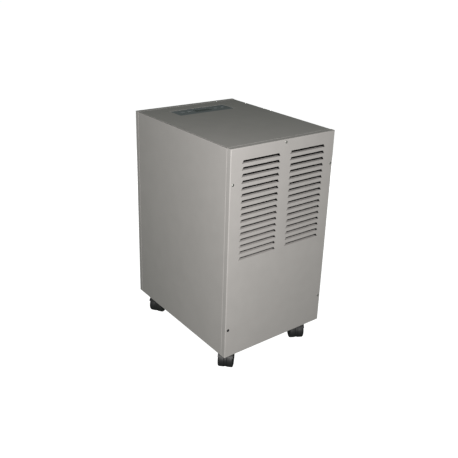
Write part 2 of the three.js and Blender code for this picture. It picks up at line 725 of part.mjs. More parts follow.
function suctionPipe() {
  const { x, y, z1 } = ACCUMULATOR;
  const way = SUCTION_WAY;
  const route = [
    [COIL_STUB_X, EVAPORATOR_Y, COIL_HIGH],
    [LEFT_RUN_X, EVAPORATOR_Y, COIL_HIGH],
    [LEFT_RUN_X, EVAPORATOR_Y, 597],
    [way.x, EVAPORATOR_Y, 597],
    [way.x, way.y, 597],
    [way.x, way.y, way.z],
    [way.x, 20, way.z],
    [x, y, way.z],
    [x, y, z1 + GAP],
  ];
  return along(bentPath(route, 9), 4.5, 6, 44);
}

// the drier, with the liquid line that is brazed into its lower end
function filterDrier() {
  const { x, y, z0, z1 } = DRIER;
  const body = turned('z', [
    [0, z0],
    [3, z0],
    [3.5, z0 + 8],
    [9, z0 + 16],
    [9, z1 - 16],
    [3.5, z1 - 8],
    [3, z1],
    [0, z1],
  ], x, y, 0, 12);
  const low = z0 - 12;
  const route = [
    [COIL_STUB_X, CONDENSER_Y, COIL_LOW],
    [LEFT_RUN_X, CONDENSER_Y, COIL_LOW],
    [LEFT_RUN_X, 92, low],
    [x, y, low],
    [x, y, z0 + 2],
  ];
  return join(body, along(bentPath(route, 5), 2.6, 6, 20));
}

function capillaryTube() {
  const { x, y, z1 } = DRIER;
  const points = [];
  const turns = 4;
  const perTurn = 10;
  const coilRadius = 7;
  points.push(new THREE.Vector3(x, y, z1 + GAP));
  points.push(new THREE.Vector3(x, y, z1 + 10));
  for (let i = 0; i <= turns * perTurn; i += 1) {
    const turn = (i / perTurn) * Math.PI * 2;
    const rise = z1 + 20 + (i / perTurn) * 6;
    const coilX = x + coilRadius * (1 - Math.cos(turn));
    points.push(new THREE.Vector3(coilX, y + coilRadius * Math.sin(turn), rise));
  }
  const last = z1 + 20 + turns * 6;
  points.push(new THREE.Vector3(x, y + 4, last + 14));
  points.push(new THREE.Vector3(LEFT_RUN_X - 4, CONDENSER_Y, last + 24));
  points.push(new THREE.Vector3(LEFT_RUN_X - 4, EVAPORATOR_Y - 14, last + 4));
  points.push(new THREE.Vector3(LEFT_RUN_X - 2, EVAPORATOR_Y - 4, COIL_LOW + 40));
  points.push(new THREE.Vector3(LEFT_RUN_X, EVAPORATOR_Y, COIL_LOW + 12));
  points.push(new THREE.Vector3(LEFT_RUN_X + 4, EVAPORATOR_Y, COIL_LOW + 1));
  points.push(new THREE.Vector3(COIL_STUB_X, EVAPORATOR_Y, COIL_LOW));
  return along(new THREE.CatmullRomCurve3(points, false, 'centripetal'), 1.5, 4, 66);
}

// ---- controls -----------------------------------------------------------------------------
const BOX = { x: 104, y0: 100, y1: 188, z0: 606, z1: TOP - SHEET - GAP, wall: 2 };
const BOARD = { x: 92, y0: 112, y1: 176, z0: 640, z1: 641.6 };
const STANDOFFS = [[-84, 118], [84, 118], [-84, 170], [84, 170]];
const SWITCH_TOP = BOARD.z1 + 3;
const DISPLAY_TOP = 652;
const FASCIA_TOP = TOP - 0.3;

function controlBox() {
  const { x, y0, y1, z0, z1, wall } = BOX;
  const outside = block(-x, x, y0, y1, z0, z1);
  return cut(outside, block(-x + wall, x - wall, y0 + wall, y1 - wall, z0 + wall, TOP));
}

function controlBoard() {
  const plate = block(-BOARD.x, BOARD.x, BOARD.y0, BOARD.y1, BOARD.z0, BOARD.z1);
  const switches = KEY_XS.map((x) => block(x - 3, x + 3, KEY_Y - 3, KEY_Y + 3, BOARD.z1 - 0.2, SWITCH_TOP));
  const display = block(-26, 26, KEY_Y - 10, KEY_Y + 10, BOARD.z1 - 0.2, DISPLAY_TOP);
  const relays = [-12, 22].map((x) => block(x, x + 18, 116, 131, BOARD.z0 - 15, BOARD.z0 + 0.2));
  const foot = BOX.z0 + BOX.wall + GAP;
  const standoffs = STANDOFFS.map(([x, y]) => rod('z', 4, BOARD.z0 + 0.2 - foot, x, y, foot, 8));
  return join(plate, ...switches, display, ...relays, ...standoffs);
}

const LEDGE_DROP = 3.2; // the window rests on a ledge, which this much of its cut-out leaves whole

function controlFascia() {
  const edge = 0.5;
  const outline = roundedRect(
    -FASCIA.x + edge, FASCIA.x - edge, FASCIA.y0 + edge, FASCIA.y1 - edge, 1,
  );
  const plate = acrossXY(outline, FASCIA_TOP - 2.6, FASCIA_TOP);
  const keyHoles = KEY_XS.map((x) => rod('z', KEY_RADIUS + GAP, 10, x, KEY_Y, TOP - 6, 14));
  const around = (grow, z0, z1) => block(
    -WINDOW.x - grow, WINDOW.x + grow, KEY_Y - WINDOW.y - grow, KEY_Y + WINDOW.y + grow, z0, z1,
  );
  const windowHole = around(GAP, TOP - 6, TOP + 1);
  const ledge = cut(around(3, FASCIA_TOP - 4, FASCIA_TOP - 2), around(-2, TOP - 9, TOP));
  return join(cut(plate, windowHole, ...keyHoles), cut(ledge, windowHole.translate([0, 0, LEDGE_DROP])));
}

function displayWindow() {
  return block(-WINDOW.x, WINDOW.x, KEY_Y - WINDOW.y, KEY_Y + WINDOW.y, FASCIA_TOP - 2.1, FASCIA_TOP - 0.1);
}

// a key: a round cap with a flange that stops it under the fascia, and a stem over its switch
const KEY_TRAVEL = 1;

function key(x) {
  const top = FASCIA_TOP - 0.1;
  const stemEnd = SWITCH_TOP + KEY_TRAVEL + GAP;
  return turned('z', [
    [0, stemEnd],
    [2, stemEnd],
    [2, top - 5.4],
    [KEY_RADIUS + 1.4, top - 5.4],
    [KEY_RADIUS + 1.4, top - 4],
    [KEY_RADIUS, top - 4],
    [KEY_RADIUS, top - 0.5],
    [KEY_RADIUS - 0.5, top],
    [0, top],
  ], x, KEY_Y, 0, 12);
}

function humiditySensor() {
  const y = BOX.y1 + GAP;
  const body = block(96, 120, y, y + 10, 592, 622);
  const slots = [0, 1, 2, 3].map((i) => block(99, 117, y + 7, y + 11, 596 + i * 6, 599 + i * 6));
  return cut(body, ...slots);
}

function runCapacitor() {
  const can = turned('z', [
    [0, BASE_FLOOR + GAP],
    [18, BASE_FLOOR + GAP],
    [18, 146],
    [16, 149],
    [0, 149],
  ], 120, -20, 0, 20);
  const tabs = [-6, 6].map((at) => block(120 + at - 3, 120 + at + 3, -20.5, -19.5, 148, 158));
  return join(can, ...tabs);
}

// a strain-relief bushing for the mains cord, without the cord
function cordGland() {
  const head = SCREW_HEAD;
  return turned('y', [
    [3.6, -16],
    [GLAND.radius, -16],
    [GLAND.radius, GAP / 2],
    [GLAND.radius + 4, GAP / 2],
    [GLAND.radius + 3, head],
    [3.6, head],
    [3.6, -16],
  ], GLAND.x, FACE, GLAND.z, 20);
}

// ---- water tank ---------------------------------------------------------------------------
const TANK = { x: 125, y0: 70, y1: 212, z0: TANK_BAY.z0 + 1, z1: 300, wall: 2.5 };
const TANK_FACE = { x: TANK_BAY.x - 0.5, y: FACE - 0.3, z0: TANK_BAY.z0 + 0.8, z1: TANK_BAY.z1 - 0.5 };
const POCKET = { z0: 250, plate: 4 }; // behind the tank's front plate, open at the top
const GRIP = { x: 52, z0: 258, z1: 292 }; // the hand's way through the plate into the pocket

function waterTank() {
  const { x, y0, y1, z0, z1, wall } = TANK;
  const face = TANK_FACE;
  const plateBack = face.y - POCKET.plate;
  const body = block(-x, x, y0, y1 + 1, z0, z1);
  const front = block(-face.x, face.x, y1, face.y, face.z0, face.z1);
  const upperCavity = block(-x + wall, x - wall, y0 + wall, y1 - wall, z0 + wall, z1 + 1);
  const lowerCavity = block(-x + wall, x - wall, y1 - wall - 1, face.y - wall, z0 + wall, POCKET.z0 - wall);
  const pocket = block(-face.x + wall, face.x - wall, y1, plateBack, POCKET.z0, face.z1 + 1);
  const grip = block(-GRIP.x, GRIP.x, plateBack - 1, face.y + 1, GRIP.z0, GRIP.z1);
  return cut(join(body, front), upperCavity, lowerCavity, pocket, grip);
}

const FLOAT = { x: 60, y: 108, z: 284, arm: 46, hang: 40 }; // hangs this many degrees down when empty
const FLOAT_PIN = 2.2;

function tankLid() {
  const { x, y0, y1, z1 } = TANK;
  const plate = block(-x, x, y0, y1, z1 + GAP, z1 + 2.8);
  const skirt = cut(
    block(-x + 3, x - 3, y0 + 3, y1 - 3, z1 - 8, z1 + 1),
    block(-x + 5, x - 5, y0 + 5, y1 - 5, z1 - 9, z1 + 0.9),
  );
  const lugs = [-10, 10].map((at) => {
    return block(FLOAT.x + at - 1.5, FLOAT.x + at + 1.5, FLOAT.y - 7, FLOAT.y + 7, FLOAT.z - 7, z1 + 1);
  });
  const pinHole = rod('x', FLOAT_PIN + GAP, 30, FLOAT.x - 15, FLOAT.y, FLOAT.z, 12);
  const inlet = rod('z', 16, 30, DRAIN.x, DRAIN.y, z1 - 15, 20);
  return cut(join(plate, skirt, ...lugs), pinHole, inlet);
}

function tankFloat() {
  const { x, y, z, arm, hang } = FLOAT;
  const pin = rod('x', FLOAT_PIN, 26, x - 13, 0, 0, 10);
  const lever = block(x - 6, x + 6, -2, arm, -3, 1);
  const bulb = acrossXY(roundedRect(x - 24, x + 24, arm - 12, arm + 22, 6), -22, -1);
  return join(pin, lever, bulb).rotate([-hang, 0, 0]).translate([0, y, z]);
}

function floatSwitch() {
  const y = DIVIDER_Y + SHELF_SHEET + GAP;
  const body = block(48, 74, y, y + 12, 286, 306);
  return join(body, block(55, 67, y + 11, y + 14, 291, 299));
}

// ---- casters ------------------------------------------------------------------------------
const PINTLE_RADIUS = 5;
const PLATE_TOP = BOTTOM - 0.3;
const PLATE_UNDER = PLATE_TOP - 2.6;
const HOOD_INNER = WHEEL_RADIUS + 1.4;
const HOOD_OUTER = HOOD_INNER + 2.4;
const HOOD_FROM = 35; // degrees above the axle at the trailing side
const HOOD_TO = 186; // and at the leading side
const HOOD_BOSS = 12;
const WEB_RADIUS = WHEEL_RADIUS - 1;
const WEB_HALF = WHEEL_INNER - 0.5;
const AXLE_RADIUS = 3;
const AXLE_REACH = 17.7;

// each caster is drawn with its swivel on the Z axis and its wheels trailing towards +X
function casterPlate() {
  const half = 23;
  const plate = acrossXY(roundedRect(-half, half, -half, half, 5), PLATE_UNDER, PLATE_TOP);
  const holes = [[-1, -1], [-1, 1], [1, -1], [1, 1]]
    .map(([a, b]) => rod('z', 2.8, 8, a * 16.5, b * 16.5, PLATE_UNDER - 2, 5));
  const collar = rod('z', 9, 1.2, 0, 0, PLATE_UNDER - 1, 12);
  const pintle = rod('z', PINTLE_RADIUS, PLATE_UNDER - 46.4, 0, 0, 46.6, 12);
  return cut(join(plate, collar, pintle), ...holes);
}

function casterHood() {
  const a0 = THREE.MathUtils.degToRad(HOOD_FROM);
  const a1 = THREE.MathUtils.degToRad(HOOD_TO);
  const shell = new THREE.Shape();
  shell.absarc(CASTER_TRAIL, WHEEL_RADIUS, HOOD_OUTER, a0, a1, false);
  shell.absarc(CASTER_TRAIL, WHEEL_RADIUS, HOOD_INNER, a1, a0, true);
  const half = WHEEL_OUTER - 0.2;
  const canopy = acrossXZ(shell, -half, half, 3);
  // the web fills the space between the wheels, and stops just above the floor
  const web = new THREE.Shape();
  web.absarc(CASTER_TRAIL, WHEEL_RADIUS, HOOD_INNER + 1, a0, a1, false);
  web.absarc(CASTER_TRAIL, WHEEL_RADIUS, WEB_RADIUS, a1, a0 + Math.PI * 2, false);
  const middle = acrossXZ(web, -WEB_HALF, WEB_HALF, 5);
  const boss = rod('z', HOOD_BOSS, PLATE_UNDER - 1.4 - 40, 0, 0, 40, 12);
  const wheelRoom = [-1, 1].map((way) => {
    const y = way > 0 ? WEB_HALF : -WHEEL_OUTER - 1;
    return rod('y', HOOD_INNER, WHEEL_OUTER + 1.5 - WHEEL_INNER, CASTER_TRAIL, y, WHEEL_RADIUS, 16);
  });
  const axle = rod('y', AXLE_RADIUS, AXLE_REACH * 2, CASTER_TRAIL, -AXLE_REACH, WHEEL_RADIUS, 8);
  const bore = rod('z', PINTLE_RADIUS + GAP, 20, 0, 0, 45.8, 12);
  return cut(join(cut(join(canopy, boss), ...wheelRoom), middle, axle), bore);
}

// one wheel, drawn on the +Y side of the web
function casterWheel() {
  const bore = AXLE_RADIUS + GAP;
  const floor = AXLE_REACH + 0.5;
  return turned('y', [
    [0, floor],
    [bore, floor],
    [bore, WHEEL_INNER],
    [WHEEL_RADIUS, WHEEL_INNER],
    [WHEEL_RADIUS, WHEEL_OUTER - 6],
    [WHEEL_RADIUS - 1.4, WHEEL_OUTER - 2.6],
    [WHEEL_RADIUS - 5, WHEEL_OUTER],
    [WHEEL_RADIUS - 9, WHEEL_OUTER],
    [WHEEL_RADIUS - 10, WHEEL_OUTER - 1.6],
    [0, WHEEL_OUTER - 1.6],
  ], CASTER_TRAIL, 0, WHEEL_RADIUS, 18);
}

function addCaster({ name, x, y, heading }) {
  const stand = new THREE.Group();
  stand.position.set(x, y, 0);
  machine.add(stand);
  add(`caster_${name}_plate`, casterPlate(), ZINC, stand);
  const swivel = new THREE.Group();
  swivel.rotation.z = THREE.MathUtils.degToRad(heading);
  stand.add(swivel);
  add(`caster_${name}_hood`, casterHood(), BLACK_PLASTIC, swivel);
  const wheel = casterWheel();
  add(`caster_${name}_wheel_a`, wheel, TREAD_RUBBER, swivel);
  add(`caster_${name}_wheel_b`, wheel.mirror([0, 1, 0]), TREAD_RUBBER, swivel);
}

// ---- assembly -----------------------------------------------------------------------------
add('base_pan', basePan(), GALVANISED);
add('cabinet_wrap', cabinetWrap(), POWDER_COAT);
add('louvred_panel', louvredPanel(), POWDER_COAT);
add('rear_panel', rearPanel(), POWDER_COAT);
add('mid_shelf', midShelf(), GALVANISED);
add('divider', divider(), GALVANISED);
for (const { name, x, z, finish } of FRONT_SCREWS) {
  add(name, screw(x, -FACE, z, -1), finish);
}
for (const { name, x, z, finish } of REAR_SCREWS) {
  add(name, screw(x, FACE, z, 1), finish);
}

add('evaporator_coil', coil(EVAPORATOR), FIN_ALUMINIUM);
add('condenser_coil', coil(CONDENSER), FIN_ALUMINIUM);
add('drip_tray', dripTray(), GALVANISED);
add('fan_shroud', fanShroud(), BLACK_PLASTIC);
add('motor_bracket', motorBracket(), GALVANISED);
add('fan_motor', fanMotor(), BLACK_PLASTIC);
add('fan_impeller', impeller(), BLACK_PLASTIC);
add('filter_frame', filterFrame(), BLACK_PLASTIC);
add('filter_mesh', filterMesh(), FILTER_NYLON);

add('compressor', compressor(), COMPRESSOR_PAINT);
add('terminal_cover', terminalCover(), BLACK_PLASTIC);
add('accumulator', accumulator(), COMPRESSOR_PAINT);
add('discharge_pipe', dischargePipe(), COPPER);
add('suction_pipe', suctionPipe(), COPPER);
add('filter_drier', filterDrier(), COPPER);
add('capillary_tube', capillaryTube(), COPPER);

add('control_box', controlBox(), GREY_PLASTIC);
add('control_board', controlBoard(), BOARD_GREEN);
add('control_fascia', controlFascia(), FASCIA_FILM);
add('display_window', displayWindow(), SMOKED_WINDOW);
KEY_XS.forEach((x, i) => add(`key_${i + 1}`, key(x), FASCIA_FILM));
add('humidity_sensor', humiditySensor(), GREY_PLASTIC);
add('run_capacitor', runCapacitor(), GREY_PLASTIC);
add('cord_gland', cordGland(), BLACK_PLASTIC);

add('water_tank', waterTank(), TANK_PLASTIC);
add('tank_lid', tankLid(), GREY_PLASTIC);
add('tank_float', tankFloat(), FOAM_WHITE);
add('float_switch', floatSwitch(), BLACK_PLASTIC);

CASTERS.forEach(addCaster);

export default machine;
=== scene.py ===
"""A commercial cabinet dehumidifier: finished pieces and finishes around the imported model."""

import json
import math

import bmesh
import bpy
from mathutils import Matrix, Vector


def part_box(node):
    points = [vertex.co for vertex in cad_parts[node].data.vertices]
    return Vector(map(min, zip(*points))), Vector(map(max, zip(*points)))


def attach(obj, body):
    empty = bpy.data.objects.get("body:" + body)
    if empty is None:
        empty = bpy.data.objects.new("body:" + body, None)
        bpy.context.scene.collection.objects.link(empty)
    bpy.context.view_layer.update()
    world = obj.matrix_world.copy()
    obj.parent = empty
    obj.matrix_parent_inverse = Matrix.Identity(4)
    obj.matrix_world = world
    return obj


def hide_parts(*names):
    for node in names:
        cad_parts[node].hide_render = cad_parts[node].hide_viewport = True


bl_info = {
    "name": "Cabinet dehumidifier",
    "version": (1, 0, 0),
    "blender": (4, 5, 0),
    "location": "3D View > Sidebar > Dehumidifier",
    "description": "Finishes a sheet-steel dehumidifier on swivel casters",
    "category": "Object",
}

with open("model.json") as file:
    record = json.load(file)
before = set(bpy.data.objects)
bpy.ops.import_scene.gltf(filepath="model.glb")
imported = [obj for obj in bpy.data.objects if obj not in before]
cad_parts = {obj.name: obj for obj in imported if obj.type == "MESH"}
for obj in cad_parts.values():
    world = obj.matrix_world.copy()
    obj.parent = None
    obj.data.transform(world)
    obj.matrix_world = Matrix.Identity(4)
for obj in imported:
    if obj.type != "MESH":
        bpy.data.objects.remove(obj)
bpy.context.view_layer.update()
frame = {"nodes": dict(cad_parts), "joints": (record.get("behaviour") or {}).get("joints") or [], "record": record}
NODES = frame["nodes"]
JOINTS = {joint["child"]: joint for joint in frame["joints"]}
SLOT_OF = {part["node"]: part["material_slot"] for part in frame["record"]["subparts"]}
BODY_OF = {
    node: body
    for body, members in frame["record"]["behaviour"]["bodies"].items()
    for node in members
}
CASTERS = ("front_left", "front_right", "rear_left", "rear_right")
MM = 0.001
GAP = 0.4 * MM  # assembly gap between neighbouring pieces
SHEET = 1.2 * MM  # cabinet sheet steel


# ---- sizes and colours a user would change --------------------------------------------------
def length(name, description, millimetres):
    return bpy.props.FloatProperty(
        name=name, description=description, default=millimetres * MM, unit="LENGTH", min=0.0,
    )


class LouvreSettings(bpy.types.PropertyGroup):
    rows: bpy.props.IntProperty(name="Rows", description="Openings in a column", default=16, min=1)
    pitch: length("Pitch", "From one row to the next", 17.8)
    first: length("First row", "From the cabinet's top to the first opening", 33.8)
    opening: length("Opening", "Height of an opening", 10.2)
    column: length("Column", "From the panel's middle to a column's middle", 80.2)
    foot: length("Foot", "Half width of an opening's lower edge", 64.4)
    head: length("Head", "Half width of an opening's upper edge", 58.4)
    flap: length("Flap", "Length of the flap bent in from the lower edge", 8.8)
    bend: length("Bend", "Inside radius of the flap's bend", 0.5)
    angle: bpy.props.FloatProperty(
        name="Angle", description="How far a flap is bent in", default=math.radians(85), subtype="ANGLE",
    )


class CabinetSettings(bpy.types.PropertyGroup):
    edge: length("Sheet edge", "Rounding of the cabinet's cut edges", 0.25)
    fold: length("Panel fold", "Outside radius around a panel's face", 2.5)
    corner: length("Top corner", "Outside radius between the cabinet's sides and top", 3)
    step_bend: length("Step bend", "Outside radius where the wrap turns in to its rim", 3)
    rim_inset: length("Rim inset", "How far the wrap's rim steps in", 3.6)
    rim_lip: length("Rim lip", "Width of the flange behind a panel's face", 17)
    coat: bpy.props.FloatVectorProperty(
        name="Powder coat", description="Colour of the cabinet's coat",
        default=(0.428, 0.408, 0.397), subtype="COLOR", min=0.0, max=1.0,
    )
    coat_roughness: bpy.props.FloatProperty(
        name="Coat roughness", description="How dull the coat is",
        default=0.52, subtype="FACTOR", min=0.0, max=1.0,
    )
    coat_grain: bpy.props.FloatProperty(
        name="Coat grain", description="Size of the texture in the coat",
        default=1.1 * MM, unit="LENGTH", min=0.0001,
    )


class CasterSettings(bpy.types.PropertyGroup):
    steps: bpy.props.IntProperty(
        name="Wheel steps", description="Flats around a wheel", default=56, min=12,
    )
    shoulder: bpy.props.FloatProperty(
        name="Tread shoulder", description="Rounding between tread and wheel face",
        default=4.5 * MM, unit="LENGTH", min=0.0,
    )
    hood_edge: bpy.props.FloatProperty(
        name="Hood edge", description="Rounding of the hood's edges",
        default=1.0 * MM, unit="LENGTH", min=0.0,
    )


class ControlSettings(bpy.types.PropertyGroup):
    film: bpy.props.FloatVectorProperty(
        name="Fascia film", description="Colour of the control panel's film",
        default=(0.215, 0.235, 0.25), subtype="COLOR", min=0.0, max=1.0,
    )
    mark: bpy.props.FloatProperty(
        name="Key mark", description="Half width of the mark on a key",
        default=2.6 * MM, unit="LENGTH", min=0.0,
    )


class StageSettings(bpy.types.PropertyGroup):
    lamp_power: bpy.props.FloatProperty(
        name="Lamp", description="Power of the main lamp", default=37.0, unit="POWER", min=0.0,
    )
    fill_power: bpy.props.FloatProperty(
        name="Fill", description="Power of the lamp on the far side", default=30.0, unit="POWER", min=0.0,
    )
    lamp_size: bpy.props.FloatProperty(
        name="Lamp size", description="Width of the main lamp", default=0.34, unit="LENGTH", min=0.01,
    )
    ambient: bpy.props.FloatProperty(
        name="Ambient", description="Brightness of the surroundings", default=0.082, min=0.0,
    )


# ---- modelling by hand ----------------------------------------------------------------------
def clear_selection():
    active = bpy.context.view_layer.objects.active
    if active and active.mode != "OBJECT":
        bpy.ops.object.mode_set(mode="OBJECT")
    bpy.ops.object.select_all(action="DESELECT")


def take(piece):
    """Make one piece the only selected one."""
    clear_selection()
    piece.select_set(True)
    bpy.context.view_layer.objects.active = piece
    return piece


def named(name):
    """Name the object that an operator has just added, and put its place in its mesh."""
    piece = bpy.context.object
    piece.name = name
    piece.data.name = name
    bpy.ops.object.transform_apply(location=True, rotation=True, scale=True)
    return piece


def block(name, low, high):
    clear_selection()
    size = [b - a for a, b in zip(low, high)]
    centre = [(a + b) / 2 for a, b in zip(low, high)]
    bpy.ops.mesh.primitive_cube_add(size=1, location=centre, scale=size)
    return named(name)


def edit(piece, kind="VERT"):
    take(piece)
    bpy.ops.object.mode_set(mode="EDIT")
    bpy.ops.mesh.select_mode(type=kind)
    bpy.ops.mesh.select_all(action="SELECT")


def choose(piece, kind, passes):
    """Select the faces, edges or points of a piece that pass a test, in edit mode."""
    edit(piece, kind)
    bpy.ops.mesh.select_all(action="DESELECT")
    work = bmesh.from_edit_mesh(piece.data)
    items = {"VERT": work.verts, "EDGE": work.edges, "FACE": work.faces}[kind]
    for item in items:
        if passes(item):
            item.select_set(True)
    work.select_flush_mode()
    bmesh.update_edit_mesh(piece.data)


def drawn(name, points):
    """A line of points: one corner of a plane, moved to the first and extruded to the others."""
    clear_selection()
    bpy.ops.mesh.primitive_plane_add(size=2 * MM)
    piece = named(name)
    choose(piece, "VERT", lambda vert: vert.index != 0)
    bpy.ops.mesh.delete(type="VERT")
    edit(piece)
    start = next(iter(bmesh.from_edit_mesh(piece.data).verts)).co.copy()
    for number, place in enumerate(points):
        step = Vector(place) - start
        if number == 0:
            bpy.ops.transform.translate(value=step)
        else:
            bpy.ops.mesh.extrude_vertices_move(TRANSFORM_OT_translate={"value": step})
        start = Vector(place)
    return piece


def close_up(piece):
    """Merge what meets, turn every face outwards and leave edit mode."""
    edit(piece)
    bpy.ops.mesh.remove_doubles(threshold=1e-6)
    bpy.ops.mesh.normals_make_consistent(inside=False)
    bpy.ops.object.mode_set(mode="OBJECT")
    return piece


def turned(name, profile, steps):
    """Spin a profile of (radius, height) pairs about Z."""
    piece = drawn(name, [(radius, 0, height) for radius, height in profile])
    edit(piece)
    bpy.ops.mesh.spin(steps=steps, angle=math.tau, center=(0, 0, 0), axis=(0, 0, 1))
    return close_up(piece)


def slab(name, outline, low, high):
    """Fill an outline drawn across X and Z, and extrude it from y = low to y = high."""
    piece = drawn(name, [(x, low, z) for x, z in outline])
    edit(piece)
    bpy.ops.mesh.edge_face_add()
    bpy.ops.mesh.extrude_region_move(TRANSFORM_OT_translate={"value": (0, high - low, 0)})
    return close_up(piece)


def arc(centre, radius, start, end, steps):
    """Points along an arc across X and Z, from one angle to another in degrees."""
    turns = [math.radians(start + (end - start) * i / steps) for i in range(steps + 1)]
    return [(centre[0] + radius * math.cos(t), centre[1] + radius * math.sin(t)) for t in turns]


def cut_line(piece, place, way):
    """Cut every face of a piece along a plane, leaving both sides."""
    edit(piece)
    bpy.ops.mesh.bisect(plane_co=place, plane_no=way)


def flat(name, low, high, across, up):
    """An upright sheet at y = low.y that faces -Y, with lines cut at places in X and in Z."""
    clear_selection()
    bpy.ops.mesh.primitive_plane_add(size=1, rotation=(math.radians(90), 0, 0))
    piece = named(name)
    edit(piece)
    bpy.ops.transform.resize(value=(high.x - low.x, 1, high.z - low.z), center_override=(0, 0, 0))
    bpy.ops.transform.translate(value=((low.x + high.x) / 2, low.y, (low.z + high.z) / 2))
    for x in across:
        cut_line(piece, (x, 0, 0), (1, 0, 0))
    for z in up:
        cut_line(piece, (0, 0, z), (0, 0, 1))
    return piece


def opened(piece, passes):
    """Delete the faces whose middles pass a test."""
    choose(piece, "FACE", lambda face: passes(face.calc_center_median()))
    bpy.ops.mesh.delete(type="FACE")


def pushed(step, scale=(1, 1, 1), centre=(0, 0, 0)):
    """Extrude the selected edges by a step, then resize them about a centre."""
    bpy.ops.mesh.extrude_edges_move(TRANSFORM_OT_translate={"value": step})
    bpy.ops.transform.resize(value=scale, center_override=centre)


def folded_back(piece, low, high, radius, depth, steps=5):
    """Extrude a flat sheet's outer edges back round a bend, then straight to the full depth."""
    centre = ((low.x + high.x) / 2, 0, (low.z + high.z) / 2)
    half = ((high.x - low.x) / 2, (high.z - low.z) / 2)

    def outer(edge):
        a, b = (vert.co for vert in edge.verts)
        sides = [(a.x, b.x, side) for side in (low.x, high.x)]
        sides += [(a.z, b.z, side) for side in (low.z, high.z)]
        return any(max(abs(first - side), abs(second - side)) < 1e-5 for first, second, side in sides)

    choose(piece, "EDGE", outer)
    out, back = 0, 0
    for number in range(1, steps + 1):
        turn = math.pi / 2 * number / steps
        next_out, next_back = radius * math.sin(turn), radius * (1 - math.cos(turn))
        scale = [(side + next_out) / (side + out) for side in half]
        pushed((0, next_back - back, 0), (scale[0], 1, scale[1]), centre)
        out, back = next_out, next_back
    pushed((0, depth - radius, 0))
    bpy.ops.object.mode_set(mode="OBJECT")


def bore(radius, place, reach):
    """A cutter along Y."""
    clear_selection()
    bpy.ops.mesh.primitive_cylinder_add(
        vertices=32, radius=radius, depth=2 * reach, location=place, rotation=(math.radians(90), 0, 0),
    )
    return named("bore")


def screw_bores(nodes):
    """A cutter for each screw's hole."""
    cutters = []
    for node in nodes:
        low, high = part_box(node)
        place = [(a + b) / 2 for a, b in zip(low, high)]
        cutters.append(bore(SCREW_HOLE, place, 20 * MM))
    return cutters


def apply(piece, kind, **settings):
    take(piece)
    modifier = piece.modifiers.new(kind.title(), kind)
    for key, value in settings.items():
        setattr(modifier, key, value)
    bpy.ops.object.modifier_apply(modifier=modifier.name)
    return piece


def soften(piece, width, segments=2, angle=30):
    """Round the sharp edges of a piece, and shade it smooth with its flat faces left flat."""
    apply(
        piece, "BEVEL", width=width, segments=segments, limit_method="ANGLE",
        angle_limit=math.radians(angle), miter_outer="MITER_ARC",
    )
    take(piece)
    bpy.ops.object.shade_smooth_by_angle(angle=math.radians(48))
    return apply(piece, "WEIGHTED_NORMAL", mode="FACE_AREA", weight=100, keep_sharp=True)


def united(piece, *others):
    for other in others:
        apply(piece, "BOOLEAN", operation="UNION", object=other, solver="EXACT")
        bpy.data.objects.remove(other)
    return piece


def carved(piece, *tools):
    for tool in tools:
        apply(piece, "BOOLEAN", operation="DIFFERENCE", object=tool, solver="EXACT")
        bpy.data.objects.remove(tool)
    return piece


def copy_of(piece, name, placing):
    """A copy with its own mesh, moved by a matrix."""
    twin = piece.copy()
    twin.data = piece.data.copy()
    twin.name = name
    twin.data.name = name
    bpy.context.scene.collection.objects.link(twin)
    twin.data.transform(placing)
    if placing.determinant() < 0:
        twin.data.flip_normals()
    return twin


def stand_for(piece, node):
    """Let a finished piece take a node's place: its body, its slot and its finish."""
    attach(piece, BODY_OF[node])
    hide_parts(node)
    dress(piece, SLOT_OF[node])
    return piece


def refined(node, width, segments=2, angle=30):
    """The node's own shape with its triangles paired and its edges rounded."""
    piece = copy_of(NODES[node], "fine_" + node, Matrix.Identity(4))
    piece.parent = None
    for key in list(piece.keys()):
        del piece[key]
    edit(piece)
    bpy.ops.mesh.remove_doubles(threshold=2e-6)
    level = math.radians(1)
    bpy.ops.mesh.tris_convert_to_quads(face_threshold=level, shape_threshold=math.pi)
    bpy.ops.object.mode_set(mode="OBJECT")
    soften(piece, width, segments, angle)
    return stand_for(piece, node)


# ---- finishes -------------------------------------------------------------------------------
def noise(tree, size, detail, source):
    texture = tree.nodes.new("ShaderNodeTexNoise")
    texture.inputs["Scale"].default_value = 1 / size
    texture.inputs["Detail"].default_value = detail
    tree.links.new(source, texture.inputs["Vector"])
    return texture.outputs["Fac"]


def spread(tree, value, low, high):
    """Map a texture's middle range onto two numbers."""
    mapped = tree.nodes.new("ShaderNodeMapRange")
    mapped.inputs["From Min"].default_value = 0.3
    mapped.inputs["From Max"].default_value = 0.7
    mapped.inputs["To Min"].default_value = low
    mapped.inputs["To Max"].default_value = high
    tree.links.new(value, mapped.inputs["Value"])
    return mapped.outputs["Result"]


def tinted(tree, share, dark, light):
    mix = tree.nodes.new("ShaderNodeMix")
    mix.data_type = "RGBA"
    mix.inputs["A"].default_value = (*dark, 1)
    mix.inputs["B"].default_value = (*light, 1)
    tree.links.new(share, mix.inputs["Factor"])
    return mix.outputs["Result"]


def scaled(colour, share):
    return tuple(min(1.0, part * share) for part in colour)


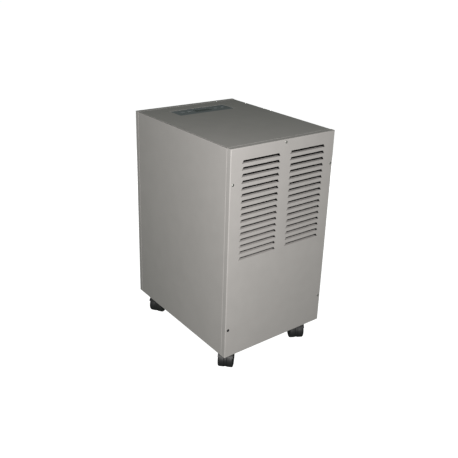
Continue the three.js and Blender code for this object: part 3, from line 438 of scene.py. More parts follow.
def finish(
    name, colour, roughness, grain, depth, metallic=0.0, change=0.05, patch=40 * MM, stretch=(1, 1, 1),
):
    """A surface with fine grain, slow changes of tone and uneven gloss, all in the piece's own space."""
    material = bpy.data.materials.new(name)
    material.use_nodes = True
    tree = material.node_tree
    surface = tree.nodes["Principled BSDF"]
    surface.inputs["Metallic"].default_value = metallic
    place = tree.nodes.new("ShaderNodeTexCoord").outputs["Object"]
    mapping = tree.nodes.new("ShaderNodeMapping")
    mapping.inputs["Scale"].default_value = stretch
    tree.links.new(place, mapping.inputs["Vector"])
    fine = noise(tree, grain, 3, mapping.outputs["Vector"])
    slow = noise(tree, patch, 2, place)
    tone = tinted(tree, spread(tree, slow, 0, 1), scaled(colour, 1 - change), scaled(colour, 1 + change))
    tree.links.new(tone, surface.inputs["Base Color"])
    gloss = spread(tree, fine, max(0.02, roughness - 0.06), min(1, roughness + 0.06))
    tree.links.new(gloss, surface.inputs["Roughness"])
    bump = tree.nodes.new("ShaderNodeBump")
    bump.inputs["Strength"].default_value = 0.35
    bump.inputs["Distance"].default_value = depth
    tree.links.new(fine, bump.inputs["Height"])
    tree.links.new(bump.outputs["Normal"], surface.inputs["Normal"])
    return material


def painted_inside_shade(material):
    """Turn the surface near black wherever it lies inside the cabinet: painted shade for the dark interior."""
    tree = material.node_tree
    surface = tree.nodes["Principled BSDF"]
    outside = surface.inputs["Base Color"].links[0].from_socket
    coordinates = next(node for node in tree.nodes if node.type == "TEX_COORD")
    parts = tree.nodes.new("ShaderNodeSeparateXYZ")
    tree.links.new(coordinates.outputs["Object"], parts.inputs["Vector"])
    half_sheet = SHEET / 2
    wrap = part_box("cabinet_wrap")[1]
    limits = (wrap.x - half_sheet, -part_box("louvred_panel")[1].y - SHEET, wrap.z - half_sheet)
    painted_shade_mask = None
    for part, limit in zip(parts.outputs, limits):
        size = tree.nodes.new("ShaderNodeMath")
        size.operation = "ABSOLUTE"
        tree.links.new(part, size.inputs[0])
        test = tree.nodes.new("ShaderNodeMath")
        test.operation = "LESS_THAN"
        test.inputs[1].default_value = limit
        tree.links.new(size.outputs["Value"], test.inputs[0])
        if painted_shade_mask is None:
            painted_shade_mask = test.outputs["Value"]
            continue
        both = tree.nodes.new("ShaderNodeMath")
        both.operation = "MULTIPLY"
        tree.links.new(painted_shade_mask, both.inputs[0])
        tree.links.new(test.outputs["Value"], both.inputs[1])
        painted_shade_mask = both.outputs["Value"]
    mix = tree.nodes.new("ShaderNodeMix")
    mix.data_type = "RGBA"
    # Near black: painted shade for the cabinet's interior, laid over the coat's own colour.
    mix.inputs["B"].default_value = (0.012, 0.012, 0.013, 1)
    tree.links.new(outside, mix.inputs["A"])
    tree.links.new(painted_shade_mask, mix.inputs["Factor"])
    tree.links.new(mix.outputs["Result"], surface.inputs["Base Color"])
    return material


def fin_stock(name):
    """Fin edges seen end on: fine upright stripes along X, light for the fin edges and dark for painted shade in
    the gaps between fins.
    """
    material = finish(name, (0.55, 0.56, 0.57), 0.38, 2 * MM, 0.05 * MM, metallic=0.9)
    tree = material.node_tree
    surface = tree.nodes["Principled BSDF"]
    wave = tree.nodes.new("ShaderNodeTexWave")
    wave.bands_direction = "X"
    wave.inputs["Scale"].default_value = 1 / (6.5 * MM)
    coordinates = next(node for node in tree.nodes if node.type == "TEX_COORD")
    tree.links.new(coordinates.outputs["Object"], wave.inputs["Vector"])
    # Dark bands: painted shade in the gaps between fins; light bands: the fins' edges.
    tone = tinted(tree, wave.outputs["Fac"], (0.12, 0.12, 0.125), (0.62, 0.63, 0.64))
    tree.links.new(tone, surface.inputs["Base Color"])
    return material


def woven(name):
    """A square weave of dark nylon, two crossed sets of threads across X and Z, with painted shade in the openings
    between them.
    """
    material = finish(name, (0.03, 0.032, 0.035), 0.8, 1.2 * MM, 0.1 * MM)
    tree = material.node_tree
    surface = tree.nodes["Principled BSDF"]
    coordinates = next(node for node in tree.nodes if node.type == "TEX_COORD")
    threads = []
    for direction in ("X", "Z"):
        wave = tree.nodes.new("ShaderNodeTexWave")
        wave.bands_direction = direction
        wave.inputs["Scale"].default_value = 1 / (4 * MM)
        tree.links.new(coordinates.outputs["Object"], wave.inputs["Vector"])
        threads.append(wave.outputs["Fac"])
    crossing = tree.nodes.new("ShaderNodeMath")
    crossing.operation = "MAXIMUM"
    for value, socket in zip(threads, crossing.inputs):
        tree.links.new(value, socket)
    # Darkest where both sets of threads are low: painted shade in the openings of the weave; lighter on the
    # threads.
    tone = tinted(tree, crossing.outputs["Value"], (0.004, 0.004, 0.004), (0.05, 0.053, 0.056))
    tree.links.new(tone, surface.inputs["Base Color"])
    return material


def make_finishes(settings, film):
    brushed = (1, 1, 12)
    return {
        # The powder coat, with painted shade wherever it lies inside the cabinet.
        "powder_coat": painted_inside_shade(finish(
            "powder_coat", tuple(settings.coat), settings.coat_roughness, settings.coat_grain, 0.06 * MM,
            change=0.02,
        )),
        # Base colour darker than bare galvanised steel: partly the dull zinc, partly painted shade for the dim
        # inside of the cabinet.
        "galvanised": finish(
            "galvanised", (0.27, 0.275, 0.28), 0.45, 5 * MM, 0.02 * MM, metallic=0.85, change=0.12,
            patch=9 * MM,
        ),
        "zinc": finish("zinc", (0.42, 0.42, 0.4), 0.45, 1 * MM, 0.02 * MM, metallic=0.9),
        "black_oxide": finish("black_oxide", (0.02, 0.02, 0.022), 0.42, 1 * MM, 0.02 * MM, metallic=0.4),
        "fin_aluminium": fin_stock("fin_aluminium"),
        "black_plastic": finish("black_plastic", (0.018, 0.018, 0.019), 0.5, 0.7 * MM, 0.06 * MM),
        "grey_plastic": finish("grey_plastic", (0.24, 0.245, 0.25), 0.5, 0.8 * MM, 0.05 * MM),
        "compressor_paint": finish("compressor_paint", (0.014, 0.015, 0.016), 0.4, 2 * MM, 0.08 * MM),
        "copper": finish(
            "copper", (0.6, 0.27, 0.15), 0.28, 3 * MM, 0.03 * MM, metallic=1.0, change=0.15, stretch=brushed,
        ),
        "board_green": finish("board_green", (0.012, 0.07, 0.03), 0.4, 1 * MM, 0.02 * MM),
        "fascia_film": finish("fascia_film", tuple(film), 0.42, 0.6 * MM, 0.03 * MM, change=0.04),
        "smoked_window": finish("smoked_window", (0.11, 0.12, 0.128), 0.25, 3 * MM, 0.005 * MM),
        "filter_nylon": woven("filter_nylon"),
        "tank_plastic": finish("tank_plastic", (0.3, 0.285, 0.265), 0.46, 0.9 * MM, 0.05 * MM, change=0.03),
        "float_foam": finish("float_foam", (0.72, 0.7, 0.64), 0.8, 1.5 * MM, 0.25 * MM),
        "tread": finish("tread", (0.016, 0.016, 0.017), 0.55, 1 * MM, 0.08 * MM),
    }


FINISHES = {}


def dress(piece, slot):
    piece.data.materials.clear()
    piece.data.materials.append(FINISHES[slot])


# ---- the cabinet ----------------------------------------------------------------------------
class DressNodes(bpy.types.Operator):
    """Make the finishes and give every node of the frame its own"""

    bl_idname = "dehumidifier.dress_nodes"
    bl_label = "Finishes"

    def execute(self, context):
        film = context.scene.dehumidifier_controls.film
        FINISHES.update(make_finishes(context.scene.dehumidifier_cabinet, film))
        for node, piece in NODES.items():
            dress(piece, SLOT_OF[node])
        return {"FINISHED"}


SCREW_HOLE = 2.4 * MM
FRONT_SCREWS = [node for node in NODES if node.startswith("screw_front_")]
REAR_SCREWS = [node for node in NODES if node.startswith("screw_rear_")]


class BuildLouvredPanel(bpy.types.Operator):
    """The outlet panel: a folded pan with two columns of louvres bent in from its face"""

    bl_idname = "dehumidifier.build_louvred_panel"
    bl_label = "Louvred panel"

    def execute(self, context):
        louvres = context.scene.dehumidifier_louvres
        cabinet = context.scene.dehumidifier_cabinet
        low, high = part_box("louvred_panel")
        inset = Vector((cabinet.fold, 0, cabinet.fold))
        tops = [high.z - louvres.first - row * louvres.pitch for row in range(louvres.rows)]
        feet = [top - louvres.opening for top in tops]
        columns = (-louvres.column, louvres.column)
        sides = [column + way * louvres.foot for column in columns for way in (-1, 1)]
        piece = flat("fine_louvred_panel", low + inset, high - inset, sides, tops + feet)

        def in_column(x):
            return any(abs(x - column) < louvres.foot for column in columns)

        def in_row(z):
            return any(foot < z < foot + louvres.opening for foot in feet)

        opened(piece, lambda middle: in_column(middle.x) and in_row(middle.z))
        self.narrow_heads(piece, louvres, columns, tops)
        self.bend_flaps(piece, louvres, columns, feet, low.y)
        folded_back(piece, low + inset, high - inset, cabinet.fold, high.y - low.y)
        apply(piece, "SOLIDIFY", thickness=SHEET, offset=-1, use_even_offset=True)
        carved(piece, *screw_bores(FRONT_SCREWS))
        soften(piece, cabinet.edge, segments=2, angle=60)
        stand_for(piece, "louvred_panel")
        return {"FINISHED"}

    def narrow_heads(self, piece, louvres, columns, tops):
        """Move the upper corners of the openings towards the middle of their column."""
        for column in columns:
            def corner(vert):
                at_side = abs(abs(vert.co.x - column) - louvres.foot) < 1e-5
                return at_side and any(abs(vert.co.z - top) < 1e-5 for top in tops)

            choose(piece, "VERT", corner)
            scale = (louvres.head / louvres.foot, 1, 1)
            bpy.ops.transform.resize(value=scale, center_override=(column, 0, 0))

    def bend_flaps(self, piece, louvres, columns, feet, face):
        """Extrude every opening's lower edge round its bend, then straight as a tapering blade."""
        outer = louvres.bend + SHEET
        steps = 4
        stops = [(0, 0)]
        for number in range(1, steps + 1):
            turn = louvres.angle * number / steps
            stops.append((outer * (1 - math.cos(turn)), outer * math.sin(turn)))
        blade = louvres.flap - (louvres.bend + SHEET / 2) * louvres.angle
        back, rise = stops[-1]
        stops.append((back + blade * math.sin(louvres.angle), rise + blade * math.cos(louvres.angle)))
        taper = (louvres.foot - louvres.head) / louvres.opening
        for column in columns:
            def lower_edge(edge):
                a, b = (vert.co for vert in edge.verts)
                in_line = all(abs(abs(point.x - column) - louvres.foot) < 1e-5 for point in (a, b))
                across = abs(a.x - b.x) > louvres.foot and abs(a.z - b.z) < 1e-6
                at_foot = any(abs(a.z - foot) < 1e-5 for foot in feet)
                return edge.is_boundary and in_line and across and at_foot

            choose(piece, "EDGE", lower_edge)
            half = louvres.foot
            for (y0, z0), (y1, z1) in zip(stops, stops[1:]):
                next_half = louvres.foot - GAP / 2 - taper * y1
                pushed((0, y1 - y0, z1 - z0), (next_half / half, 1, 1), (column, 0, 0))
                half = next_half


class BuildRearPanel(bpy.types.Operator):
    """The panel on the operator's side: a folded pan with ways for the filter and the tank"""

    bl_idname = "dehumidifier.build_rear_panel"
    bl_label = "Rear panel"

    def execute(self, context):
        cabinet = context.scene.dehumidifier_cabinet
        low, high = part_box("rear_panel")
        around = Vector((0.5 * MM, 0, 0.5 * MM))
        ways = []
        for node in ("filter_frame", "water_tank"):
            inner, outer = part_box(node)
            ways.append((inner - around, outer + around))
        across = [corner.x for way in ways for corner in way]
        up = [corner.z for way in ways for corner in way]
        inset = Vector((cabinet.fold, 0, cabinet.fold))
        piece = flat("fine_rear_panel", low + inset, high - inset, across, up)

        def in_way(middle):
            return any(a.x < middle.x < b.x and a.z < middle.z < b.z for a, b in ways)

        opened(piece, in_way)
        folded_back(piece, low + inset, high - inset, cabinet.fold, high.y - low.y)
        piece.data.transform(Matrix.Translation((0, low.y + high.y, 0)) @ Matrix.Rotation(math.pi, 4, "Z"))
        apply(piece, "SOLIDIFY", thickness=SHEET, offset=-1, use_even_offset=True)
        gland_low, gland_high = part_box("cord_gland")
        place = [(a + b) / 2 for a, b in zip(gland_low, gland_high)]
        flange = 4 * MM
        gland = bore((gland_high.x - gland_low.x) / 2 - flange + GAP, place, 20 * MM)
        carved(piece, gland, *screw_bores(REAR_SCREWS))
        soften(piece, cabinet.edge, segments=2, angle=60)
        stand_for(piece, "rear_panel")
        return {"FINISHED"}


class BuildWrap(bpy.types.Operator):
    """The cabinet's sides and top in one folded sheet, with a stepped rim at both ends"""

    bl_idname = "dehumidifier.build_wrap"
    bl_label = "Cabinet wrap"

    def execute(self, context):
        cabinet = context.scene.dehumidifier_cabinet
        low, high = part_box("cabinet_wrap")
        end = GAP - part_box("louvred_panel")[1].y
        side, top, foot, corner = high.x, high.z, low.z, cabinet.corner
        plain = end - cabinet.step_bend
        right = arc((side - corner, top - corner), corner, 0, 90, 5)
        outline = [(side, foot), *right, *[(-x, z) for x, z in reversed(right)], (-side, foot)]
        piece = drawn("fine_cabinet_wrap", [(x, -plain, z) for x, z in outline])
        edit(piece)
        bpy.ops.mesh.extrude_edges_move(TRANSFORM_OT_translate={"value": (0, 2 * plain, 0)})
        stops = [(cabinet.step_bend * math.sin(turn), cabinet.step_bend * (1 - math.cos(turn)))
                 for turn in (math.pi / 2 * number / 4 for number in range(5))]
        rim, lip = cabinet.rim_inset, cabinet.rim_inset + cabinet.rim_lip
        depth = high.y - plain
        stops += [(cabinet.step_bend, rim), (depth, rim), (depth, lip)]
        for way in (-1, 1):
            def at_end(edge):
                return all(abs(vert.co.y - way * plain) < 1e-5 for vert in edge.verts)

            choose(piece, "EDGE", at_end)
            for (y0, inset0), (y1, inset1) in zip(stops, stops[1:]):
                self.step_in(side, top, foot, way * (y1 - y0), inset0, inset1)
        self.lift_rims(piece, end, foot)
        self.open_top(piece, top)
        close_up(piece)
        apply(piece, "SOLIDIFY", thickness=SHEET, offset=-1, use_even_offset=True)
        carved(piece, *screw_bores(FRONT_SCREWS + REAR_SCREWS))
        soften(piece, cabinet.edge, segments=2, angle=60)
        stand_for(piece, "cabinet_wrap")
        return {"FINISHED"}

    def step_in(self, side, top, foot, along, start, stop):
        """Extrude the selected arch along Y and in from one inset to another, its feet at their height."""
        height = top - foot
        scale = ((side - stop) / (side - start), 1, (height - stop) / (height - start))
        pushed((0, along, 0), scale, (0, 0, foot))

    def lift_rims(self, piece, end, foot):
        """Lift the feet of both rims clear of the panels' lower flanges."""
        def rim_foot(vert):
            return abs(vert.co.y) > end + GAP and abs(vert.co.z - foot) < 1e-5

        choose(piece, "VERT", rim_foot)
        bpy.ops.transform.translate(value=(0, 0, SHEET + GAP))

    def open_top(self, piece, top):
        """Cut the way for the control fascia."""
        low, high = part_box("control_fascia")
        around = 0.5 * MM
        x0, x1, y0, y1 = low.x - around, high.x + around, low.y - around, high.y + around
        for x in (x0, x1):
            cut_line(piece, (x, 0, 0), (1, 0, 0))
        for y in (y0, y1):
            cut_line(piece, (0, y, 0), (0, 1, 0))
        opened(piece, lambda middle: x0 < middle.x < x1 and y0 < middle.y < y1 and middle.z > top - MM)


class BuildBase(bpy.types.Operator):
    """Round the edges of the base pan"""

    bl_idname = "dehumidifier.build_base"
    bl_label = "Base"

    def execute(self, context):
        refined("base_pan", context.scene.dehumidifier_cabinet.edge, segments=1)
        return {"FINISHED"}


def screw_head(name, radius, height, seat):
    """A domed head with a cross recess, with its seat at the origin and its top up +Z."""
    dome = arc((0, height - 1.25 * radius), 1.25 * radius, 90, 46, 7)
    profile = [(0, -seat), (0.49 * radius, -seat), (0.49 * radius, 0), (radius, 0)]
    rim = (radius, 0.32 * height)
    points = [(x, z) for x, z in reversed(dome) if x < 0.97 * radius and z > rim[1]]
    piece = turned(name, profile + [rim] + points, 28)
    reach = 0.52 * radius
    slot = 0.11 * radius
    floor = 0.45 * height
    cross = [
        block("slot_a", (-reach, -slot, floor), (reach, slot, 2 * height)),
        block("slot_b", (-slot, -reach, floor), (slot, reach, 2 * height)),
    ]
    carved(piece, *cross)
    return soften(piece, 0.12 * MM, segments=1, angle=40)


class BuildScrews(bpy.types.Operator):
    """Domed screws with a cross recess, one for each screw of the frame"""

    bl_idname = "dehumidifier.build_screws"
    bl_label = "Screws"

    def execute(self, context):
        places = FRONT_SCREWS + REAR_SCREWS
        low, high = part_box(places[0])
        radius = (high.x - low.x) / 2
        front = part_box("louvred_panel")[0].y
        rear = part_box("rear_panel")[1].y
        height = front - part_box("screw_front_top")[0].y
        seat = high.y - front
        model = screw_head("screw_model", radius, height, seat)
        for number, node in enumerate(places):
            low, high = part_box(node)
            at_front = low.y < 0
            centre = Vector(((low.x + high.x) / 2, front if at_front else rear, (low.z + high.z) / 2))
            facing = Matrix.Rotation(math.radians(90 if at_front else -90), 4, "X")
            driven = Matrix.Rotation(math.radians(37 * number), 4, "Z")
            placing = Matrix.Translation(centre) @ facing @ driven
            stand_for(copy_of(model, "fine_" + node, placing), node)
        bpy.data.objects.remove(model)
        return {"FINISHED"}


# ---- casters --------------------------------------------------------------------------------
def caster_frame(name):
    """Where a caster swivels, as a matrix whose +X is the way its wheels trail."""
    low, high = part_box(f"caster_{name}_plate")
    axis = JOINTS[f"wheel_{name}_a"]["axis"]
    heading = math.atan2(-axis[0], axis[1])
    centre = Vector(((low.x + high.x) / 2, (low.y + high.y) / 2, 0))
    return Matrix.Translation(centre) @ Matrix.Rotation(heading, 4, "Z")


HOOD_FROM = 35  # degrees above the axle at the trailing side
HOOD_TO = 186  # and round to the leading side
HOOD_WALL = 2.4 * MM
HOOD_BOSS = 12 * MM
WEB_HALF = 3.1 * MM
BOSS_FOOT = 40 * MM
PINTLE_BORE = 5.4 * MM
PINTLE_FOOT = 45.8 * MM
AXLE_RADIUS = 3 * MM
AXLE_INSET = 4.1 * MM  # from a wheel's outer face to the axle's end


def wheel_profile(radius, inner, outer, shoulder, bore):
    """From the bore out: web side, tread with rounded shoulders, then a dished face with a hub."""
    tread_in = arc((radius - 1.2 * MM, inner + 1.2 * MM), 1.2 * MM, -90, 0, 3)
    tread_out = arc((radius - shoulder, outer - shoulder), shoulder, 0, 90, 7)
    rim = radius - shoulder - 2.2 * MM
    dish = outer - 1.8 * MM
    face = [
        (rim, outer), (rim - 0.8 * MM, outer - 0.3 * MM), (rim - 1.3 * MM, dish),
        (0.40 * radius, dish), (0.40 * radius - 0.6 * MM, dish + 0.9 * MM),
        (0.28 * radius, dish + 1.2 * MM), (0.26 * radius, dish + 0.5 * MM), (0, dish + 0.5 * MM),
    ]
    blind = outer - 3.6 * MM
    return [(0, blind), (bore, blind), (bore, inner), *tread_in, *tread_out, *face]


class BuildCasters(bpy.types.Operator):
    """Twin-wheel casters: wheels with rounded treads under a moulded hood"""

    bl_idname = "dehumidifier.build_casters"
    bl_label = "Casters"

    def execute(self, context):
        settings = context.scene.dehumidifier_casters
        low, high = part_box("caster_front_left_wheel_a")
        radius = (high.z - low.z) / 2
        to_local = caster_frame("front_left").inverted()
        local = [to_local @ vert.co for vert in NODES["caster_front_left_wheel_a"].data.vertices]
        inner = min(point.y for point in local)
        outer = max(point.y for point in local)
        trail = (min(point.x for point in local) + max(point.x for point in local)) / 2
        hood = [to_local @ vert.co for vert in NODES["caster_front_left_hood"].data.vertices]
        profile = wheel_profile(radius, inner, outer, settings.shoulder, AXLE_RADIUS + GAP)
        wheel = turned("wheel_model", profile, settings.steps)
        take(wheel)
        bpy.ops.object.shade_smooth_by_angle(angle=math.radians(40))
        lying = Matrix.Translation((trail, 0, radius)) @ Matrix.Rotation(math.radians(-90), 4, "X")
        canopy = self.hood(settings, hood, trail, radius, outer - AXLE_INSET)
        for name in CASTERS:
            placing = caster_frame(name)
            near = copy_of(wheel, f"fine_wheel_{name}_a", placing @ lying)
            far = copy_of(wheel, f"fine_wheel_{name}_b", placing @ Matrix.Scale(-1, 4, (0, 1, 0)) @ lying)
            stand_for(near, f"caster_{name}_wheel_a")
            stand_for(far, f"caster_{name}_wheel_b")
            stand_for(copy_of(canopy, f"fine_hood_{name}", placing), f"caster_{name}_hood")
            refined(f"caster_{name}_plate", 0.4 * MM)
        bpy.data.objects.remove(wheel)
        bpy.data.objects.remove(canopy)
        return {"FINISHED"}

    def hood(self, settings, points, trail, radius, reach):
        """The hood in its caster's own frame: a canopy over both wheels, a web between them and a boss."""
        half = max(point.y for point in points)
        top = max(point.z for point in points)
        outer = max(point.z for point in points if abs(point.x - trail) < 6 * MM) - radius
        inner = outer - HOOD_WALL
        centre = (trail, radius)
        shell = arc(centre, outer, HOOD_FROM, HOOD_TO, 26) + arc(centre, inner, HOOD_TO, HOOD_FROM, 26)
        canopy = slab("hood_model", shell, -half, half)
        web = arc(centre, inner + MM, HOOD_FROM, HOOD_TO, 20)
        web += arc(centre, radius - MM, HOOD_TO, HOOD_FROM + 360, 30)
        middle = slab("web", web, -WEB_HALF, WEB_HALF)
        boss = turned("boss", [(0, BOSS_FOOT), (HOOD_BOSS, BOSS_FOOT), (HOOD_BOSS, top), (0, top)], 32)
        room = []
        for way in (-1, 1):
            disc = turned("room", [(0, 0), (inner, 0), (inner, 2 * half), (0, 2 * half)], 48)
            disc.data.transform(
                Matrix.Translation((trail, way * WEB_HALF, radius))
                @ Matrix.Rotation(math.radians(-90 * way), 4, "X")
            )
            room.append(disc)
        axle = turned("axle", [(0, -reach), (AXLE_RADIUS, -reach), (AXLE_RADIUS, reach), (0, reach)], 16)
        upright = Matrix.Rotation(math.radians(90), 4, "X")
        axle.data.transform(Matrix.Translation((trail, 0, radius)) @ upright)
        above = 2 * top
        pintle = turned(
            "pintle", [(0, PINTLE_FOOT), (PINTLE_BORE, PINTLE_FOOT), (PINTLE_BORE, above), (0, above)], 20,
        )
        united(canopy, boss)
        carved(canopy, *room)
        united(canopy, middle, axle)
        carved(canopy, pintle)
        return soften(canopy, settings.hood_edge, segments=3, angle=35)


# ---- controls -------------------------------------------------------------------------------
class BuildControls(bpy.types.Operator):
    """The control fascia, its keys with raised marks, and its window"""

    bl_idname = "dehumidifier.build_controls"
    bl_label = "Controls"

    def execute(self, context):
        refined("control_fascia", 0.3 * MM, segments=2)
        refined("display_window", 0.25 * MM, segments=2)
        for number in (1, 2, 3, 4):
            self.key(number, context.scene.dehumidifier_controls.mark)
        for node in ("control_box", "control_board"):
            refined(node, 0.3 * MM, segments=1)
        return {"FINISHED"}

    def key(self, number, mark):
        node = f"key_{number}"
        low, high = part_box(node)
        centre = Vector(((low.x + high.x) / 2, (low.y + high.y) / 2, 0))
        cap = (high.x - low.x) / 2 - 1.4 * MM
        stem = 2 * MM
        flange = high.z - 5.3 * MM
        edge = arc((cap - 0.9 * MM, high.z - 0.9 * MM), 0.9 * MM, 0, 90, 5)
        profile = [
            (0, low.z), (stem, low.z), (stem, flange - 0.1 * MM), (cap + 1.4 * MM, flange - 0.1 * MM),
            (cap + 1.4 * MM, high.z - 4 * MM), (cap, high.z - 4 * MM), *edge,
            (cap - 1.6 * MM, high.z), (cap - 2.2 * MM, high.z - 0.3 * MM), (0, high.z - 0.45 * MM),
        ]
        piece = turned("fine_" + node, profile, 40)
        piece.data.transform(Matrix.Translation(centre))
        take(piece)
        bpy.ops.object.shade_smooth_by_angle(angle=math.radians(40))
        stand_for(piece, node)
        top = high.z - 0.42 * MM
        sign = self.mark(number, mark)
        sign.data.transform(Matrix.Translation((centre.x, centre.y, top)))
        soften(sign, 0.08 * MM, segments=1)
        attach(sign, BODY_OF[node])
        dress(sign, "grey_plastic")

    def mark(self, number, size):
        """A raised sign for each key: a power ring, an up arrow, a down arrow and a fan wheel."""
        thick = 0.3 * MM
        if number == 1:
            ring = turned(
                "mark_1",
                [(size, 0), (size, thick), (0.74 * size, thick), (0.74 * size, 0), (size, 0)], 28,
            )
            bar = block("bar", (-0.13 * size, 0.3 * size, 0), (0.13 * size, 1.3 * size, thick))
            return united(ring, bar)
        if number == 4:
            blades = []
            for turn in (90, 210, 330):
                outline = [(0, 0), *arc((0.62 * size, 0), 0.38 * size, -100, 100, 7)]
                blade = slab("blade", outline, -thick / 2, thick / 2)
                lay = Matrix.Rotation(math.radians(turn), 4, "Z") @ Matrix.Rotation(math.radians(-90), 4, "X")
                blade.data.transform(Matrix.Translation((0, 0, thick / 2)) @ lay)
                blades.append(blade)
            fan = united(*blades)
            fan.name = "mark_4"
            return fan
        way = 1 if number == 2 else -1
        point = [(-size, -0.6 * size * way), (size, -0.6 * size * way), (0, 0.8 * size * way)]
        arrow = slab(f"mark_{number}", point, -thick / 2, thick / 2)
        arrow.data.transform(
            Matrix.Translation((0, 0, thick / 2)) @ Matrix.Rotation(math.radians(90), 4, "X")
        )
        return arrow


# ---- rear face ------------------------------------------------------------------------------
class BuildRearPieces(bpy.types.Operator):
    """The filter cassette, the water tank and the cord bushing"""

    bl_idname = "dehumidifier.build_rear_pieces"
    bl_label = "Filter and tank"

    def execute(self, context):
        refined("filter_frame", 0.5 * MM, segments=2)
        refined("filter_mesh", 0.6 * MM, segments=1)
        refined("water_tank", 0.9 * MM, segments=3)
        refined("tank_lid", 0.4 * MM)
        refined("tank_float", 0.9 * MM, segments=2)
        refined("float_switch", 0.6 * MM)
        refined("cord_gland", 0.5 * MM, segments=2)
        return {"FINISHED"}


# ---- inside ---------------------------------------------------------------------------------
class BuildInside(bpy.types.Operator):
    """The air path and the refrigeration circuit"""

    bl_idname = "dehumidifier.build_inside"
    bl_label = "Inside"

    def execute(self, context):
        for node in ("mid_shelf", "divider", "drip_tray", "fan_shroud", "motor_bracket"):
            refined(node, 0.3 * MM, segments=1)
        for node in ("fan_motor", "fan_impeller", "compressor", "terminal_cover", "accumulator"):
            refined(node, 0.6 * MM, segments=2)
        for node in ("run_capacitor", "humidity_sensor"):
            refined(node, 0.4 * MM, segments=1)
        for node in ("evaporator_coil", "condenser_coil"):
            refined(node, 0.3 * MM, segments=1)
        for node in ("discharge_pipe", "suction_pipe", "filter_drier", "capillary_tube"):
            refined(node, 0.2 * MM, segments=1, angle=65)
        return {"FINISHED"}


# ---- stage ----------------------------------------------------------------------------------
EYE = Vector((-1.0587, -1.3725, 1.0883))
YAW = math.radians(38.38)
PITCH = math.radians(21.67)
ROLL = math.radians(2.07)
LENS = 48.84
SHIFT = (-0.0159, -0.052)
FILL_PLACE = Vector((1.25, 1.45, 0.33))  # all of it lower than the cabinet's top, which it leaves alone
FILL_SIZE = 0.6


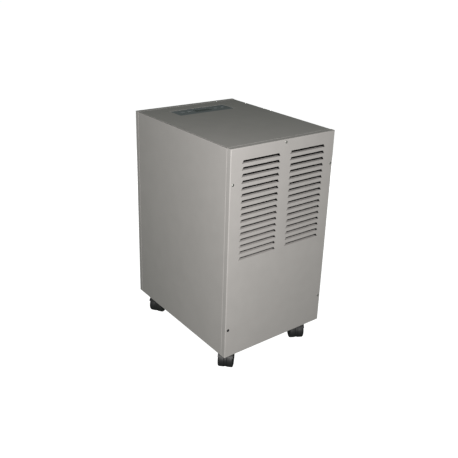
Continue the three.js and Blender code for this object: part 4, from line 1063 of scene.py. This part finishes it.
class BuildStage(bpy.types.Operator):
    """Floor, surroundings, lamps and camera"""

    bl_idname = "dehumidifier.build_stage"
    bl_label = "Stage"

    def execute(self, context):
        settings = context.scene.dehumidifier_stage
        self.floor()
        self.surroundings(context, settings)
        self.lamp("key_lamp", EYE, settings.lamp_power, settings.lamp_size)
        self.lamp("fill_lamp", FILL_PLACE, settings.fill_power, FILL_SIZE)
        self.camera(context)
        context.scene.view_settings.view_transform = "Standard"
        return {"FINISHED"}

    def floor(self):
        clear_selection()
        bpy.ops.mesh.primitive_circle_add(vertices=64, radius=60, fill_type="NGON")
        floor = named("floor")
        material = bpy.data.materials.new("floor")
        material.use_nodes = True
        surface = material.node_tree.nodes["Principled BSDF"]
        surface.inputs["Base Color"].default_value = (0.3, 0.3, 0.3, 1)
        surface.inputs["Roughness"].default_value = 0.9
        surface.inputs["Specular IOR Level"].default_value = 0.0
        surface.inputs["Emission Color"].default_value = (1, 1, 1, 1)
        surface.inputs["Emission Strength"].default_value = 1.0
        floor.data.materials.append(material)
        floor.visible_diffuse = False
        floor.visible_glossy = False

    def surroundings(self, context, settings):
        """A dim sky for the light, and a pale one where the camera looks past the floor."""
        world = bpy.data.worlds.new("surroundings")
        world.use_nodes = True
        context.scene.world = world
        tree = world.node_tree
        dim = tree.nodes["Background"]
        dim.inputs["Color"].default_value = (0.8, 1.0, 0.87, 1)
        dim.inputs["Strength"].default_value = settings.ambient
        pale = tree.nodes.new("ShaderNodeBackground")
        pale.inputs["Color"].default_value = (1, 1, 1, 1)
        path = tree.nodes.new("ShaderNodeLightPath")
        mix = tree.nodes.new("ShaderNodeMixShader")
        tree.links.new(path.outputs["Is Camera Ray"], mix.inputs["Fac"])
        tree.links.new(dim.outputs["Background"], mix.inputs[1])
        tree.links.new(pale.outputs["Background"], mix.inputs[2])
        tree.links.new(mix.outputs["Shader"], tree.nodes["World Output"].inputs["Surface"])

    def lamp(self, name, place, power, size):
        data = bpy.data.lights.new(name, "AREA")
        data.shape = "DISK"
        data.size = size
        data.energy = power
        data.color = (1.0, 0.985, 0.97)
        lamp = bpy.data.objects.new(name, data)
        bpy.context.scene.collection.objects.link(lamp)
        lamp.location = place
        lamp.rotation_euler = (Vector((0, 0, 0.36)) - place).to_track_quat("-Z", "Y").to_euler()
        return lamp

    def camera(self, context):
        data = bpy.data.cameras.new("camera")
        data.lens = LENS
        data.sensor_width = 36
        data.shift_x, data.shift_y = SHIFT
        camera = bpy.data.objects.new("camera", data)
        context.scene.collection.objects.link(camera)
        camera.matrix_world = (
            Matrix.Translation(EYE)
            @ Matrix.Rotation(-YAW, 4, "Z")
            @ Matrix.Rotation(math.radians(90) - PITCH, 4, "X")
            @ Matrix.Rotation(ROLL, 4, "Z")
        )
        context.scene.camera = camera


# ---- the add-on -----------------------------------------------------------------------------
OPERATORS = (
    DressNodes, BuildLouvredPanel, BuildRearPanel, BuildWrap, BuildBase, BuildScrews,
    BuildCasters, BuildControls, BuildRearPieces, BuildInside, BuildStage,
)
SETTINGS = {
    "dehumidifier_louvres": LouvreSettings,
    "dehumidifier_cabinet": CabinetSettings,
    "dehumidifier_casters": CasterSettings,
    "dehumidifier_controls": ControlSettings,
    "dehumidifier_stage": StageSettings,
}


class DehumidifierPanel(bpy.types.Panel):
    """Lists the sizes, colours and building steps"""

    bl_idname = "VIEW3D_PT_dehumidifier"
    bl_label = "Dehumidifier"
    bl_space_type = "VIEW_3D"
    bl_region_type = "UI"
    bl_category = "Dehumidifier"

    def draw(self, context):
        for name, group in SETTINGS.items():
            for setting in group.__annotations__:
                self.layout.prop(getattr(context.scene, name), setting)
        for operator in OPERATORS:
            self.layout.operator(operator.bl_idname)


def register():
    for item in (*SETTINGS.values(), *OPERATORS, DehumidifierPanel):
        bpy.utils.register_class(item)
    for name, group in SETTINGS.items():
        setattr(bpy.types.Scene, name, bpy.props.PointerProperty(type=group))


def unregister():
    for name in SETTINGS:
        delattr(bpy.types.Scene, name)
    for item in reversed((*SETTINGS.values(), *OPERATORS, DehumidifierPanel)):
        bpy.utils.unregister_class(item)


def main():
    register()
    for operator in OPERATORS:
        group, name = operator.bl_idname.split(".")
        getattr(getattr(bpy.ops, group), name)()


if __name__ == "__main__":
    main()
